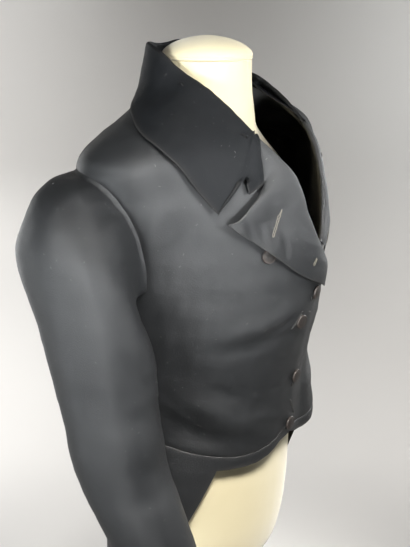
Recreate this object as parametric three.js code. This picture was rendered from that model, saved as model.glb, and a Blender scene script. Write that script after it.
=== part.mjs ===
// Tailcoat of black wool cloth, about 1830, on a limbless dress form with a pole and a round base.
// Millimetres, +Z up, floor at z = 0. The front faces -Y and the wearer's right side is -X.
import * as THREE from 'three';

// Driving sizes
const clothWall = 2;
const seamGap = 0.5;
const waistGap = 0.9;
const layerGap = 0.6;
const lapStep = 4.1;
const tailHemHeight = 545;
const neckRadius = 54;
const capSeamHeight = 1500;
const capRise = 27;
const buttonRadius = 9;
const buttonThickness = 3.6;
const RIGHT = -1;
const LEFT = 1;

// A table has named columns and one row for each section, station or fold
function table(columns, rows) {
  return rows.map((row) => Object.fromEntries(columns.map((name, k) => [name, row[k]])));
}

// Level sections of the coat's outer surface: half width, depth before and behind the axis, and roundness
const coatSections = table(['z', 'half', 'front', 'back', 'bendFront', 'bendBack'], [
  [530, 150, 100, 124, 2.0, 2.1],
  [700, 153, 105, 123, 2.0, 2.1],
  [850, 156, 112, 121, 2.0, 2.1],
  [930, 152, 119, 112, 2.0, 2.1],
  [985, 149, 126, 102, 2.0, 2.2],
  [1050, 144, 128, 96, 2.0, 2.2],
  [1120, 148, 132, 104, 2.0, 2.3],
  [1200, 160, 150, 114, 1.85, 2.4],
  [1240, 168, 157, 118, 1.66, 2.5],
  [1275, 175, 162, 119, 1.52, 2.5],
  [1310, 182, 165, 119, 1.42, 2.4],
  [1360, 194, 158, 114, 1.36, 2.2],
  [1398, 202, 146, 106, 1.32, 2.0],
  [1412, 186, 140, 98, 1.3, 1.9],
  [1428, 156, 132, 89, 1.3, 1.75],
  [1445, 120, 121, 79, 1.3, 1.75],
  [1465, 82, 108, 72, 1.5, 1.9],
  [1480, 68, 96, 67, 1.8, 2.0],
]);

// Folds of the body: place, half length and half width, tilt of the fold and its height (a trough is negative)
// The angle is degrees round the body from the centre front, plus towards the wearer's left
const bodyFolds = table(['angle', 'z', 'along', 'across', 'tilt', 'height'], [
  [-24, 1208, 48, 13, 10, 2.8],
  [-30, 1184, 44, 13, 8, -2.4],
  [-48, 1092, 54, 16, -24, 4.6],
  [-60, 1066, 50, 15, -22, -4.0],
  [-34, 1066, 40, 14, -16, 3.0],
  [-72, 1376, 42, 24, 30, -5.0],
  [-64, 1310, 60, 20, 68, -3.0],
  [46, 1088, 50, 16, 22, 4.0],
  [58, 1066, 46, 15, 20, -3.6],
  [72, 1374, 42, 24, -30, -4.6],
  [42, 1030, 40, 50, 0, 16],
  [28, 1345, 68, 36, 84, -6],
  [62, 1428, 46, 34, 0, -6],
  [-104, 1134, 50, 15, 6, 3.4],
  [-112, 1102, 46, 14, 4, -3.2],
  [104, 1130, 50, 15, -8, 3.4],
  [114, 1098, 46, 14, -4, -3.2],
  [-150, 1118, 44, 14, 4, 2.4],
  [152, 1104, 42, 14, -6, 2.4],
  [-128, 790, 240, 22, 84, 6.0],
  [-112, 760, 240, 20, 82, -5.0],
  [130, 780, 240, 22, -85, 6.0],
  [113, 750, 240, 20, -83, -5.0],
]);
const mmPerDegree = 2.7;
const foldReach = 3;

function sectionValue(rows, z, column) {
  const last = rows.length - 1;
  const at = THREE.MathUtils.clamp(z, rows[0].z, rows[last].z);
  let k = 0;
  while (k < last - 1 && rows[k + 1].z < at) k += 1;
  const slope = (i) => {
    const low = rows[Math.max(0, i - 1)];
    const high = rows[Math.min(last, i + 1)];
    return (high[column] - low[column]) / (high.z - low.z);
  };
  const span = rows[k + 1].z - rows[k].z;
  const t = (at - rows[k].z) / span;
  const t2 = t * t;
  const t3 = t2 * t;
  return (2 * t3 - 3 * t2 + 1) * rows[k][column] + (t3 - 2 * t2 + t) * span * slope(k)
    + (3 * t2 - 2 * t3) * rows[k + 1][column] + (t3 - t2) * span * slope(k + 1);
}

function foldHeight(angle, z) {
  let sum = 0;
  for (const fold of bodyFolds) {
    const dx = THREE.MathUtils.euclideanModulo(angle - fold.angle + 180, 360) - 180;
    const tilt = THREE.MathUtils.degToRad(fold.tilt);
    const right = dx * mmPerDegree;
    const up = z - fold.z;
    const along = (right * Math.cos(tilt) + up * Math.sin(tilt)) / fold.along;
    const across = (up * Math.cos(tilt) - right * Math.sin(tilt)) / fold.across;
    const far = along * along + across * across;
    if (far < foldReach * foldReach) sum += fold.height * Math.exp(-far);
  }
  return sum;
}

// Radius of a level section in the direction of an angle. Each section is a plain ellipse at its sides, and its
// ridge at the centre front and centre back is rounded.
const roundSides = { front: 58, frontEnd: 88, backEnd: 92, back: 130 };
const roundRidge = { share: 0.55, reach: 0.1 };
function sectionRadius(rows, angle, z) {
  const turn = THREE.MathUtils.degToRad(angle);
  const inFront = Math.cos(turn) > 0;
  const half = sectionValue(rows, z, 'half');
  const depth = sectionValue(rows, z, inFront ? 'front' : 'back');
  const turned = Math.abs(THREE.MathUtils.euclideanModulo(angle + 180, 360) - 180);
  const sideBlend = inFront
    ? 1 - THREE.MathUtils.smoothstep(turned, roundSides.front, roundSides.frontEnd)
    : THREE.MathUtils.smoothstep(turned, roundSides.backEnd, roundSides.back);
  const bend = THREE.MathUtils.lerp(2, sectionValue(rows, z, inFront ? 'bendFront' : 'bendBack'), sideBlend);
  const ridge = 1 - roundRidge.share * Math.exp(-((Math.sin(turn) / roundRidge.reach) ** 2));
  const sum = ((Math.abs(Math.sin(turn)) * ridge) / half) ** bend + (Math.abs(Math.cos(turn)) / depth) ** bend;
  return sum ** (-1 / bend);
}

function bareCoatPoint(angle, z) {
  const turn = THREE.MathUtils.degToRad(angle);
  const radius = sectionRadius(coatSections, angle, z) + foldHeight(angle, z);
  return new THREE.Vector3(Math.sin(turn) * radius, -Math.cos(turn) * radius, z);
}

function coatNormal(angle, z) {
  const round = bareCoatPoint(angle + 1, z).sub(bareCoatPoint(angle - 1, z));
  const rise = bareCoatPoint(angle, z + 2).sub(bareCoatPoint(angle, z - 2));
  return round.cross(rise).normalize();
}

// A point on the coat, moved out by some millimetres; sideAngle runs from the centre front to its own side
function coatPoint(side, sideAngle, z, out = 0) {
  const angle = side * sideAngle;
  return bareCoatPoint(angle, z).addScaledVector(coatNormal(angle, z), out);
}

// Lines drawn on the coat: a smooth run through stations of angle and height, by its length
function coatLine(stations) {
  const curve = new THREE.SplineCurve(stations.map((s) => new THREE.Vector2(s.angle * mmPerDegree, s.z)));
  return (t) => {
    const p = curve.getPointAt(THREE.MathUtils.clamp(t, 0, 1));
    return { angle: p.x / mmPerDegree, z: p.y };
  };
}

const mix = THREE.MathUtils.lerp;
function mixSpot(a, b, t) {
  return { angle: mix(a.angle, b.angle, t), z: mix(a.z, b.z, t) };
}

// A closed wall from a grid of outer points, with its inner points at the wall's depth. Cells may be left out.
// The outward directions may be given, so that two pieces meet squarely at a seam.
function clothWallMesh({ grid, outwards, keep = () => true, centre = bodyAxis, wall = clothWall }) {
  const rows = grid.length;
  const columns = grid[0].length;
  const id = (i, j) => i * columns + j;
  const points = grid.flat();
  const cells = [];
  for (let i = 0; i < rows - 1; i += 1) {
    for (let j = 0; j < columns - 1; j += 1) {
      if (keep(i, j)) cells.push([id(i, j), id(i, j + 1), id(i + 1, j + 1), id(i + 1, j)]);
    }
  }
  const faces = cells.flatMap(([a, b, c, d]) => [[a, b, c], [a, c, d]]);
  const faceNormal = ([a, b, c]) => {
    const ab = points[b].clone().sub(points[a]);
    return ab.cross(points[c].clone().sub(points[a]));
  };
  let outward = 0;
  for (const face of faces) {
    const middle = points[face[0]].clone().add(points[face[1]]).add(points[face[2]]).divideScalar(3);
    outward += faceNormal(face).dot(middle.clone().sub(centre(middle)));
  }
  if (outward < 0) faces.forEach((face) => face.reverse());
  const normals = outwards ? outwards.flat() : points.map(() => new THREE.Vector3());
  if (!outwards) {
    for (const face of faces) {
      const n = faceNormal(face);
      face.forEach((v) => normals[v].add(n));
    }
  }
  const used = new Map();
  const position = [];
  const place = (v, depth) => {
    const key = `${v} ${depth}`;
    if (!used.has(key)) {
      const p = points[v].clone().addScaledVector(normals[v].clone().normalize(), -depth);
      used.set(key, position.length / 3);
      position.push(p.x, p.y, p.z);
    }
    return used.get(key);
  };
  const index = [];
  const edges = new Set(faces.flatMap(([a, b, c]) => [`${a} ${b}`, `${b} ${c}`, `${c} ${a}`]));
  for (const [a, b, c] of faces) {
    index.push(place(a, 0), place(b, 0), place(c, 0));
    index.push(place(c, wall), place(b, wall), place(a, wall));
    for (const [p, q] of [[a, b], [b, c], [c, a]]) {
      if (!edges.has(`${q} ${p}`)) {
        index.push(place(q, 0), place(p, 0), place(p, wall));
        index.push(place(q, 0), place(p, wall), place(q, wall));
      }
    }
  }
  const geometry = new THREE.BufferGeometry();
  geometry.setAttribute('position', new THREE.Float32BufferAttribute(position, 3));
  geometry.setIndex(index);
  geometry.computeVertexNormals();
  return geometry;
}
const bodyAxis = (p) => new THREE.Vector3(0, 0, p.z);

// Fills a grid between two side lines and two end lines, given as runs from 0 to 1
function fillBetween({ first, last, start, end, rows, columns }) {
  const grid = [];
  for (let i = 0; i <= rows; i += 1) {
    const v = rows === 0 ? 0 : i / rows;
    const row = [];
    for (let j = 0; j <= columns; j += 1) {
      const u = j / columns;
      const along = mixSpot(first(u), last(u), v);
      const over = mixSpot(start(v), end(v), u);
      const low = mixSpot(first(0), first(1), u);
      const high = mixSpot(last(0), last(1), u);
      const corners = mixSpot(low, high, v);
      row.push({ angle: along.angle + over.angle - corners.angle, z: along.z + over.z - corners.z });
    }
    grid.push(row);
  }
  return grid;
}

// Cutting lines of the body, as stations of side angle and height
const waistSeamStations = table(['angle', 'z'], [
  [-11, 1043], [-3, 1040], [6, 1036], [17, 1029], [26, 1026], [38, 1027], [49, 1032],
  [62, 1039], [72, 1046], [90, 1052], [120, 1054], [160, 1050],
]);
const strapHemStations = table(['angle', 'z'], [
  [-11, 1032], [-3, 1029], [6, 1026], [17, 1016], [26, 1012], [38, 1012], [49, 1014],
]);
const frontEdge = coatLine(table(['angle', 'z'], [[-11, 1043], [-12, 1090], [-15, 1140], [-19, 1200], [-22, 1233]]));
const rollAndNeckline = coatLine(table(['angle', 'z'], [
  [-22, 1233], [-15, 1250], [-8, 1270], [0.5, 1293], [2.9, 1303], [5.7, 1317], [7, 1332], [8.4, 1353],
  [11, 1374], [14.3, 1390], [21.2, 1409], [27.6, 1427], [38, 1438], [52, 1450], [74, 1463], [92, 1469],
  [118, 1471],
]));
const breakToArmhole = coatLine(table(['angle', 'z'], [[-22, 1233], [30, 1246], [78, 1257]]));
const armholeFront = coatLine(table(['angle', 'z'], [
  [78, 1257], [77, 1280], [77.5, 1305], [79.2, 1335], [83.7, 1364], [88.7, 1382], [96.3, 1389], [108, 1388],
]));
const underarm = coatLine(table(['angle', 'z'], [
  [78, 1257], [86, 1243], [95, 1238], [106, 1250], [115, 1285], [121, 1325],
]));
const armholeBack = coatLine(table(['angle', 'z'], [[121, 1325], [117, 1360], [108, 1388]]));
const sideBackSeam = coatLine(table(['angle', 'z'], [
  [160, 1050], [158, 1100], [152, 1180], [141, 1250], [121, 1325],
]));
const shoulderSeam = coatLine(table(['angle', 'z'], [[118, 1471], [113, 1430], [108, 1388]]));
const backNeckline = coatLine(table(['angle', 'z'], [[118, 1471], [134, 1472], [156, 1473], [179.85, 1474]]));
const skirtFrontEdge = table(['z', 'angle'], [
  [tailHemHeight, 117], [660, 107], [770, 94], [870, 78], [945, 63], [1014, 49],
]);
const pleatEdge = table(['z', 'angle'], [[tailHemHeight, 150], [800, 154], [980, 159], [1050, 160]]);
const ventEdge = table(['z', 'angle'], [[tailHemHeight, 178.2], [900, 179.2], [1010, 179.85], [1474, 179.85]]);

function stationZ(stations, angle) {
  let k = 0;
  while (k < stations.length - 2 && stations[k + 1].angle < angle) k += 1;
  const t = (angle - stations[k].angle) / (stations[k + 1].angle - stations[k].angle);
  const smooth = THREE.MathUtils.clamp(t, 0, 1);
  return mix(stations[k].z, stations[k + 1].z, smooth);
}

// Columns of the forepart and of the skirt meet at the waist seam
const waistLine = 1050;
const strapColumns = 12;
const sideColumns = 4;
const underarmColumns = 6;
const waistColumns = strapColumns + sideColumns + underarmColumns;
const tailEase = 1.5;
const frontAngle = -11;
const cornerAngle = 49;
const armAngle = 84;
const sideBackAngle = 160;
const armColumn = strapColumns + sideColumns;
function waistAngle(j) {
  if (j <= strapColumns) return mix(frontAngle, cornerAngle, j / strapColumns);
  if (j <= armColumn) return mix(cornerAngle, armAngle, (j - strapColumns) / sideColumns);
  return mix(armAngle, sideBackAngle, (j - armColumn) / underarmColumns);
}

// The left front lies under the right one as far as the right front's edge
const rightEdgeByHeight = table(['z', 'angle'], [
  [980, 11], [1043, 11], [1090, 12], [1140, 15], [1200, 19], [1233, 22], [1250, 15], [1270, 8], [1293, -0.5],
  [1303, -2.9], [1332, -7], [1390, -14.3],
]);
const lapEase = { start: 10, end: 22 };
function lapDrop(side, sideAngle, z) {
  if (side === RIGHT) return 0;
  const beyond = sideAngle - sectionValue(rightEdgeByHeight, z, 'angle');
  return -lapStep * (1 - THREE.MathUtils.smoothstep(beyond, lapEase.start, lapEase.end));
}
function layeredPoint(side, spot, out = 0) {
  return coatPoint(side, spot.angle, spot.z, out + lapDrop(side, spot.angle, spot.z));
}

// Forepart: an L-shaped grid, whole below the armhole and narrower beside it
const forepartLowRows = 13;
const forepartHighRows = 12;
const seamInset = 0.13;
function forepartSpots() {
  const waist = (u) => {
    const angle = waistAngle(u * waistColumns);
    return { angle, z: stationZ(waistSeamStations, angle) + waistGap / 2 };
  };
  const top = (u) => {
    const j = u * waistColumns;
    if (j <= armColumn) return breakToArmhole(j / armColumn);
    return underarm((j - armColumn) / underarmColumns);
  };
  const side = (v) => {
    const spot = sideBackSeam(v);
    return { angle: spot.angle - seamInset, z: spot.z };
  };
  const low = fillBetween({
    first: waist, last: top, start: frontEdge, end: side, rows: forepartLowRows, columns: waistColumns,
  });
  const high = fillBetween({
    first: (u) => breakToArmhole(u),
    last: (u) => ({ angle: shoulderSeam(u).angle - seamInset, z: shoulderSeam(u).z }),
    start: rollAndNeckline,
    end: armholeFront,
    rows: forepartHighRows,
    columns: armColumn,
  });
  const beside = high.slice(1).map((row) => {
    const filler = Array.from({ length: waistColumns - armColumn }, () => row[armColumn]);
    return row.concat(filler);
  });
  return low.concat(beside);
}
function forepart(side) {
  const spots = forepartSpots();
  const grid = spots.map((row) => row.map((spot) => layeredPoint(side, spot)));
  const outwards = spots.map((row) => row.map((spot) => coatNormal(side * spot.angle, spot.z)));
  const top = grid[grid.length - 1];
  const chord = armColumn / backRuns.shoulder;
  for (let j = 0; j < armColumn; j += 1) {
    const from = Math.floor(j / chord) * chord;
    if (j !== from) top[j].copy(top[from]).lerp(top[from + chord], (j - from) / chord);
  }
  const keep = (i, j) => i < forepartLowRows || j < armColumn;
  return clothWallMesh({ grid, outwards, keep });
}

// Back: one strip from the tail hem to the neck, its side edge in four runs
const backColumns = 5;
const backRuns = { tail: 10, seam: forepartLowRows, armhole: 3, shoulder: 4 };
const backSeamHeights = { waist: waistLine, underarm: 1345, shoulder: 1405, neck: 1474 };
function backSpots() {
  const rows = [];
  const push = (spot, centreZ) => {
    const vent = { angle: sectionValue(ventEdge, centreZ, 'angle'), z: centreZ };
    rows.push(Array.from({ length: backColumns + 1 }, (_, j) => mixSpot(spot, vent, j / backColumns)));
  };
  for (let i = 0; i < backRuns.tail; i += 1) {
    const z = mix(tailHemHeight, waistLine, 1 - (1 - i / backRuns.tail) ** tailEase);
    push({ angle: sectionValue(pleatEdge, z, 'angle'), z }, z);
  }
  for (let i = 0; i <= backRuns.seam; i += 1) {
    const spot = sideBackSeam(i / backRuns.seam);
    const centreZ = mix(backSeamHeights.waist, backSeamHeights.underarm, i / backRuns.seam);
    push({ angle: spot.angle + seamInset, z: spot.z }, centreZ);
  }
  for (let i = 1; i <= backRuns.armhole; i += 1) {
    const centreZ = mix(backSeamHeights.underarm, backSeamHeights.shoulder, i / backRuns.armhole);
    push(armholeBack(i / backRuns.armhole), centreZ);
  }
  for (let i = 1; i <= backRuns.shoulder; i += 1) {
    const spot = shoulderSeam(1 - i / backRuns.shoulder);
    const centreZ = mix(backSeamHeights.shoulder, backSeamHeights.neck, i / backRuns.shoulder);
    push({ angle: spot.angle + seamInset, z: spot.z }, centreZ);
  }
  const top = rows[rows.length - 1];
  top.forEach((spot, j) => {
    if (j > 0) Object.assign(spot, backNeckline(j / backColumns));
  });
  return rows;
}
function back(side) {
  const spots = backSpots();
  const grid = spots.map((row) => row.map((spot) => coatPoint(side, spot.angle, spot.z)));
  const outwards = spots.map((row) => row.map((spot) => coatNormal(side * spot.angle, spot.z)));
  return clothWallMesh({ grid, outwards });
}

// Skirt: the strap under the forepart and the tail's side part, tucked under the back part at the pleat
const skirtRows = 11;
const tuckDegrees = 9;
const tuckColumns = 2;
const tuckDepth = clothWall + 1.2;
const pleatInset = 0.2;
const skirtTop = { corner: 1014, pleat: 1034 };
function skirt(side) {
  const spots = [];
  const skirtColumns = waistColumns - strapColumns;
  for (let i = 0; i <= skirtRows + 1; i += 1) {
    const row = [];
    const down = (Math.max(0, i - 1) / skirtRows) ** tailEase;
    for (let j = 0; j <= waistColumns; j += 1) {
      const angle = waistAngle(j);
      const s = Math.max(0, j - strapColumns) / skirtColumns;
      const spot = { angle, z: stationZ(waistSeamStations, angle) - waistGap / 2, out: 0 };
      if (i > 0 && j <= strapColumns) spot.z = stationZ(strapHemStations, angle);
      if (i > 0 && j >= strapColumns) {
        spot.z = mix(mix(skirtTop.corner, skirtTop.pleat, s), tailHemHeight, down);
        const front = sectionValue(skirtFrontEdge, spot.z, 'angle');
        const rear = sectionValue(pleatEdge, spot.z, 'angle') - pleatInset;
        spot.angle = mix(front, rear, s);
      }
      if (j === waistColumns) spot.out = -tuckDepth;
      row.push(spot);
    }
    const rear = row[waistColumns];
    for (let k = 1; k <= tuckColumns; k += 1) {
      row.push({ angle: rear.angle + (tuckDegrees * k) / tuckColumns, z: rear.z, out: -tuckDepth });
    }
    spots.push(row);
  }
  const grid = spots.map((row) => row.map((spot) => layeredPoint(side, spot, spot.out)));
  const outwards = spots.map((row) => row.map((spot) => coatNormal(side * spot.angle, spot.z)));
  const keep = (i, j) => i === 0 || j >= strapColumns;
  return clothWallMesh({ grid, outwards, keep });
}

// Lapel: the turned-back top of the forepart, from the roll line to its outer edge
const lapelStations = table(['rollAngle', 'rollZ', 'edgeAngle', 'edgeZ', 'parts'], [
  [27.3, 1426.6, 28, 1402, 1],
  [25.2, 1420, 28.6, 1376, 1],
  [19.6, 1404, 30.8, 1368.6, 1],
  [15.5, 1393.5, 34.4, 1359, 1],
  [13.2, 1385, 39.2, 1346, 1],
  [12, 1379, 42.5, 1339, 1],
  [11, 1374, 46.3, 1336.5, 1],
  [9.6, 1364, 41.2, 1325, 1],
  [8.4, 1353, 36.6, 1316.5, 1],
  [7, 1332, 30.6, 1305.5, 2],
  [2.9, 1303, 22.3, 1289, 2],
  [-4, 1281, 11.9, 1267, 2],
  [-13, 1256, -5, 1249, 1],
  [-20.5, 1238, -18.6, 1235, 0],
]);
const leftLapelCount = 11;
const leftLapelEnd = { rollAngle: 1.4, rollZ: 1298, edgeAngle: 13, edgeZ: 1270 };
const lapelRows = 5;
const lapelRollRise = 5;
const hiddenRollRise = 2;
const leftLapelClearance = 0.5;
const edgeRise = 0.6;
const rollWidth = { share: 0.5, riseToWidth: 0.2 };
const lapelLift = clothWall + layerGap;
const buttonLift = { angle: 27.5, z: 1296, reach: 18, rise: 4.6 };
function lapelHeight(side, spot, t, width) {
  const rise = Math.min(side === RIGHT ? lapelRollRise : hiddenRollRise, width * rollWidth.riseToWidth);
  const rollShape = Math.sin(Math.PI * Math.min(1, t / rollWidth.share)) * (1 - t);
  let height = lapelLift + rise * rollShape + edgeRise * t;
  if (side === RIGHT) {
    const dx = (spot.angle - buttonLift.angle) * mmPerDegree;
    const dz = spot.z - buttonLift.z;
    height += buttonLift.rise * Math.exp(-(dx * dx + dz * dz) / buttonLift.reach ** 2);
  } else {
    height += leftLapelClearance;
  }
  return height;
}
function lapel(side) {
  const own = side === RIGHT ? lapelStations : lapelStations.slice(0, leftLapelCount).concat([leftLapelEnd]);
  const grid = [];
  const outwards = [];
  own.forEach((station, k) => {
    const next = own[k + 1];
    const parts = next ? station.parts : 1;
    for (let p = 0; p < parts; p += 1) {
      const at = (name) => (next ? mix(station[name], next[name], p / parts) : station[name]);
      const roll = { angle: at('rollAngle'), z: at('rollZ') };
      const edge = { angle: at('edgeAngle'), z: at('edgeZ') };
      const width = Math.hypot((edge.angle - roll.angle) * mmPerDegree, edge.z - roll.z);
      const spots = Array.from({ length: lapelRows + 1 }, (_, i) => mixSpot(roll, edge, i / lapelRows));
      grid.push(spots.map((spot, i) => layeredPoint(side, spot, lapelHeight(side, spot, i / lapelRows, width))));
      outwards.push(spots.map((spot) => coatNormal(side * spot.angle, spot.z)));
    }
  });
  return clothWallMesh({ grid, outwards });
}

// Collar: stations from the centre back to the gorge; the roll is the high fold between stand and fall
const collarStations = table(
  ['rollX', 'rollY', 'rollZ', 'neckAngle', 'neckZ', 'edgeAngle', 'edgeZ', 'lying', 'parts'],
  [
    [0, 72, 1516, 180, 1474, 180, 1444, 0, 2],
    [32, 66, 1518, 156, 1473, 158, 1447, 0, 2],
    [56, 46, 1519, 134, 1472, 134, 1451, 0, 2],
    [67, 18, 1510, 112, 1470.5, 112, 1450, 0, 2],
    [65, -5, 1495, 92, 1469, 96, 1443, 0, 2],
    [59, -30, 1479, 74, 1463, 86, 1434, 0.1, 2],
    [57, -44, 1470, 62, 1457, 79, 1426, 0.2, 2],
    [58, -60, 1461, 52, 1450, 73, 1417, 0.35, 2],
    [59, -76, 1452, 44, 1443.5, 66, 1400, 0.5, 2],
    [59, -88, 1443, 38, 1438, 60, 1379, 0.7, 2],
    [57.5, -101, 1432.5, 31, 1430.5, 49.8, 1347, 0.9, 2],
    [57, -103.5, 1430, 29.8, 1429, 37.6, 1384, 1, 2],
    [56.5, -105.5, 1428.5, 28.8, 1428, 36.3, 1366, 1, 2],
    [56.4, -106.8, 1427.4, 28.2, 1427.4, 29.6, 1375.5, 1, 0],
  ],
);
const smoothCollarStations = 11;
const collarRows = 5;
const fallLift = clothWall + 2;
const fallEdgeRise = 1.2;
const fallBow = 8;
const fallBowDrop = 0.5;
const standInset = clothWall + 1.4;
const standDrop = 1.5;
const standRows = 3;
const shortestStand = 5;
const standEndLying = 0.85;
const neckGap = 1.6;

function collarColumns() {
  const names = ['rollX', 'rollY', 'rollZ', 'neckAngle', 'neckZ', 'edgeAngle', 'edgeZ', 'lying'];
  const columns = [];
  for (let k = 0; k < collarStations.length; k += 1) {
    const here = collarStations[k];
    const parts = Math.max(1, here.parts);
    for (let p = 0; p < parts; p += 1) {
      const t = p / parts;
      const column = {};
      for (const name of names) {
        if (k >= smoothCollarStations - 1) {
          const next = collarStations[Math.min(k + 1, collarStations.length - 1)];
          column[name] = mix(here[name], next[name], t);
        } else {
          const value = (i) => collarStations[THREE.MathUtils.clamp(i, 0, smoothCollarStations - 1)][name];
          const before = k === 0 && name === 'rollX' ? -value(1) : value(k - 1);
          const [a, b, c, d] = [before, value(k), value(k + 1), value(k + 2)];
          column[name] = 0.5 * (2 * b + (c - a) * t + (2 * a - 5 * b + 4 * c - d) * t * t
            + (3 * b - a - 3 * c + d) * t * t * t);
        }
      }
      columns.push(column);
    }
  }
  return columns;
}
// The left half of the collar has sunk a little beside the neck
const leftRollDrop = { height: 7, behind: -60, beside: 0 };
function rollPoint(side, column) {
  const beside = THREE.MathUtils.smoothstep(-column.rollY, leftRollDrop.behind, leftRollDrop.beside);
  const drop = side === LEFT ? leftRollDrop.height * beside * (1 - column.lying) : 0;
  return new THREE.Vector3(side * column.rollX, column.rollY, column.rollZ - drop);
}
function awayFromNeck(point) {
  return new THREE.Vector3(point.x, point.y, 0).normalize();
}
// Moves a point out until it lies some millimetres clear of the coat's outer surface
function liftOffCoat(point, lift) {
  const p = point.clone();
  for (let turn = 0; turn < 4; turn += 1) {
    const angle = THREE.MathUtils.radToDeg(Math.atan2(p.x, -p.y));
    const normal = coatNormal(angle, p.z);
    const depth = p.clone().sub(bareCoatPoint(angle, p.z)).dot(normal);
    if (depth < lift) p.addScaledVector(normal, lift - depth);
  }
  return p;
}
function collarFall(side) {
  const grid = collarColumns().map((column, c) => {
    const roll = rollPoint(side, column);
    const edge = coatPoint(side, column.edgeAngle, column.edgeZ, fallLift + fallEdgeRise);
    if (c === 0) {
      roll.x += side * seamGap / 2;
      edge.x += side * seamGap / 2;
    }
    const bow = roll.clone().addScaledVector(awayFromNeck(roll), fallBow);
    bow.z = mix(roll.z, edge.z, fallBowDrop);
    const rollAngle = THREE.MathUtils.radToDeg(Math.atan2(column.rollX, -column.rollY));
    const from = { angle: rollAngle, z: roll.z };
    const to = { angle: column.edgeAngle, z: column.edgeZ };
    const width = roll.distanceTo(edge);
    const row = [];
    for (let i = 0; i <= collarRows; i += 1) {
      const t = i / collarRows;
      const free = roll.clone().multiplyScalar((1 - t) ** 2).addScaledVector(bow, 2 * t * (1 - t))
        .addScaledVector(edge, t * t);
      if (column.lying > 0) {
        const spot = mixSpot(from, to, t);
        const lying = coatPoint(side, spot.angle, spot.z, lapelHeight(side, spot, t, width));
        free.lerp(lying, column.lying);
      }
      row.push(liftOffCoat(free, fallLift + fallEdgeRise * t));
    }
    return row;
  });
  return clothWallMesh({ grid });
}
function collarStand() {
  const half = (side) => collarColumns().filter((column) => column.lying < standEndLying).map((column) => {
    const roll = rollPoint(side, column);
    const top = roll.clone().addScaledVector(awayFromNeck(roll), -standInset);
    top.z -= standDrop;
    const neck = coatPoint(side, column.neckAngle, column.neckZ + neckGap);
    if (top.z < neck.z + shortestStand) top.z = neck.z + shortestStand;
    return Array.from({ length: standRows + 1 }, (_, i) => neck.clone().lerp(top, i / standRows));
  });
  const grid = half(RIGHT).reverse().concat(half(LEFT).slice(1));
  return clothWallMesh({ grid });
}

// Sleeve: rings from the armhole down a centre line that bends forward at the elbow
const sleeveAround = { front: 9, back: 4, under: 7 };
const sleeveColumns = ['x', 'y', 'z', 'wide', 'deep', 'lean', 'tilt'];
const rightSleeve = table(sleeveColumns, [
  [238, 1, 1270, 64, 75, 0, 34],
  [234, -22, 1222, 57, 64, 2, 12],
  [235, -28, 1180, 51, 57, 4, 3],
  [232, -38, 1138, 47, 53, 6, 0],
  [233, -42, 1092, 50, 56, 12, 0],
  [229, -54, 1050, 48, 54, 20, 0],
  [223, -73, 1005, 44, 48, 24, 0],
  [216, -94, 955, 40, 43, 24, 0],
  [210, -115, 905, 38, 41, 24, 0],
  [205, -134, 858, 36, 39, 24, 0],
  [201, -150, 820, 35, 37, 24, 0],
]);
const leftSleeve = table(sleeveColumns, [
  [233, 30, 1268, 60, 68, 0, 34],
  [234, 38, 1222, 57, 64, -6, 12],
  [233, 47, 1180, 55, 60, -8, 3],
  [230, 55, 1135, 54, 58, -8, 0],
  [226, 62, 1092, 53, 57, -7, 0],
  [221, 68, 1048, 52, 55, -5, 0],
  [215, 72, 1000, 50, 53, -3, 0],
  [208, 74, 950, 47, 50, -1, 0],
  [202, 75, 900, 44, 47, 0, 0],
  [197, 75, 850, 41, 44, 0, 0],
  [194, 74, 808, 39, 42, 0, 0],
]);
const sleeveHeadRows = 7;
const sleeveHeadBend = { x: 0.92, y: 0.45, z: -0.06 };
const sleeveSeamGap = 1.1;
const sleeveStart = -52;
const sleeveFolds = table(['round', 'ring', 'along', 'across', 'height'], [
  [20, 2.2, 1.4, 20, 3],
  [58, 3.5, 1.6, 24, -3],
  [100, 2.6, 1.6, 22, 2.4],
  [150, 4.0, 1.8, 26, -2.6],
  [10, 10.6, 0.8, 60, 3.2],
  [0, 11.8, 0.8, 55, -3.0],
  [20, 13.0, 0.8, 50, 2.6],
  [110, 13.6, 1.0, 40, 2.2],
]);

// The armhole as one loop: up the front, over the shoulder, down the back, and forward under the arm
function armholeLoop(side) {
  const spots = [];
  for (let i = 0; i < sleeveAround.front; i += 1) spots.push(armholeFront(i / sleeveAround.front));
  for (let i = 0; i < sleeveAround.back; i += 1) spots.push(armholeBack(1 - i / sleeveAround.back));
  for (let i = 0; i < sleeveAround.under; i += 1) spots.push(underarm(1 - i / sleeveAround.under));
  const loop = spots.map((spot) => layeredPoint(side, spot, armholeLift));
  const middle = ringMiddle(loop);
  return loop.map((p) => p.addScaledVector(middle.clone().sub(p).normalize(), armholeInset));
}
const armholeLift = 0.9;
const armholeInset = 2.4;
function sleeveRing(side, station, count) {
  const lean = THREE.MathUtils.degToRad(station.lean);
  const tilt = THREE.MathUtils.degToRad(station.tilt);
  return Array.from({ length: count }, (_, k) => {
    const round = THREE.MathUtils.degToRad(sleeveStart + (k / count) * 360);
    const forward = Math.cos(round) * station.deep;
    const out = Math.sin(round) * station.wide;
    return new THREE.Vector3(
      side * (station.x + out * Math.cos(tilt)),
      station.y - forward * Math.cos(lean),
      station.z + forward * Math.sin(lean) + out * Math.sin(tilt),
    );
  });
}
function ringMiddle(ring) {
  return ring.reduce((sum, p) => sum.add(p), new THREE.Vector3()).divideScalar(ring.length);
}
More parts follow.
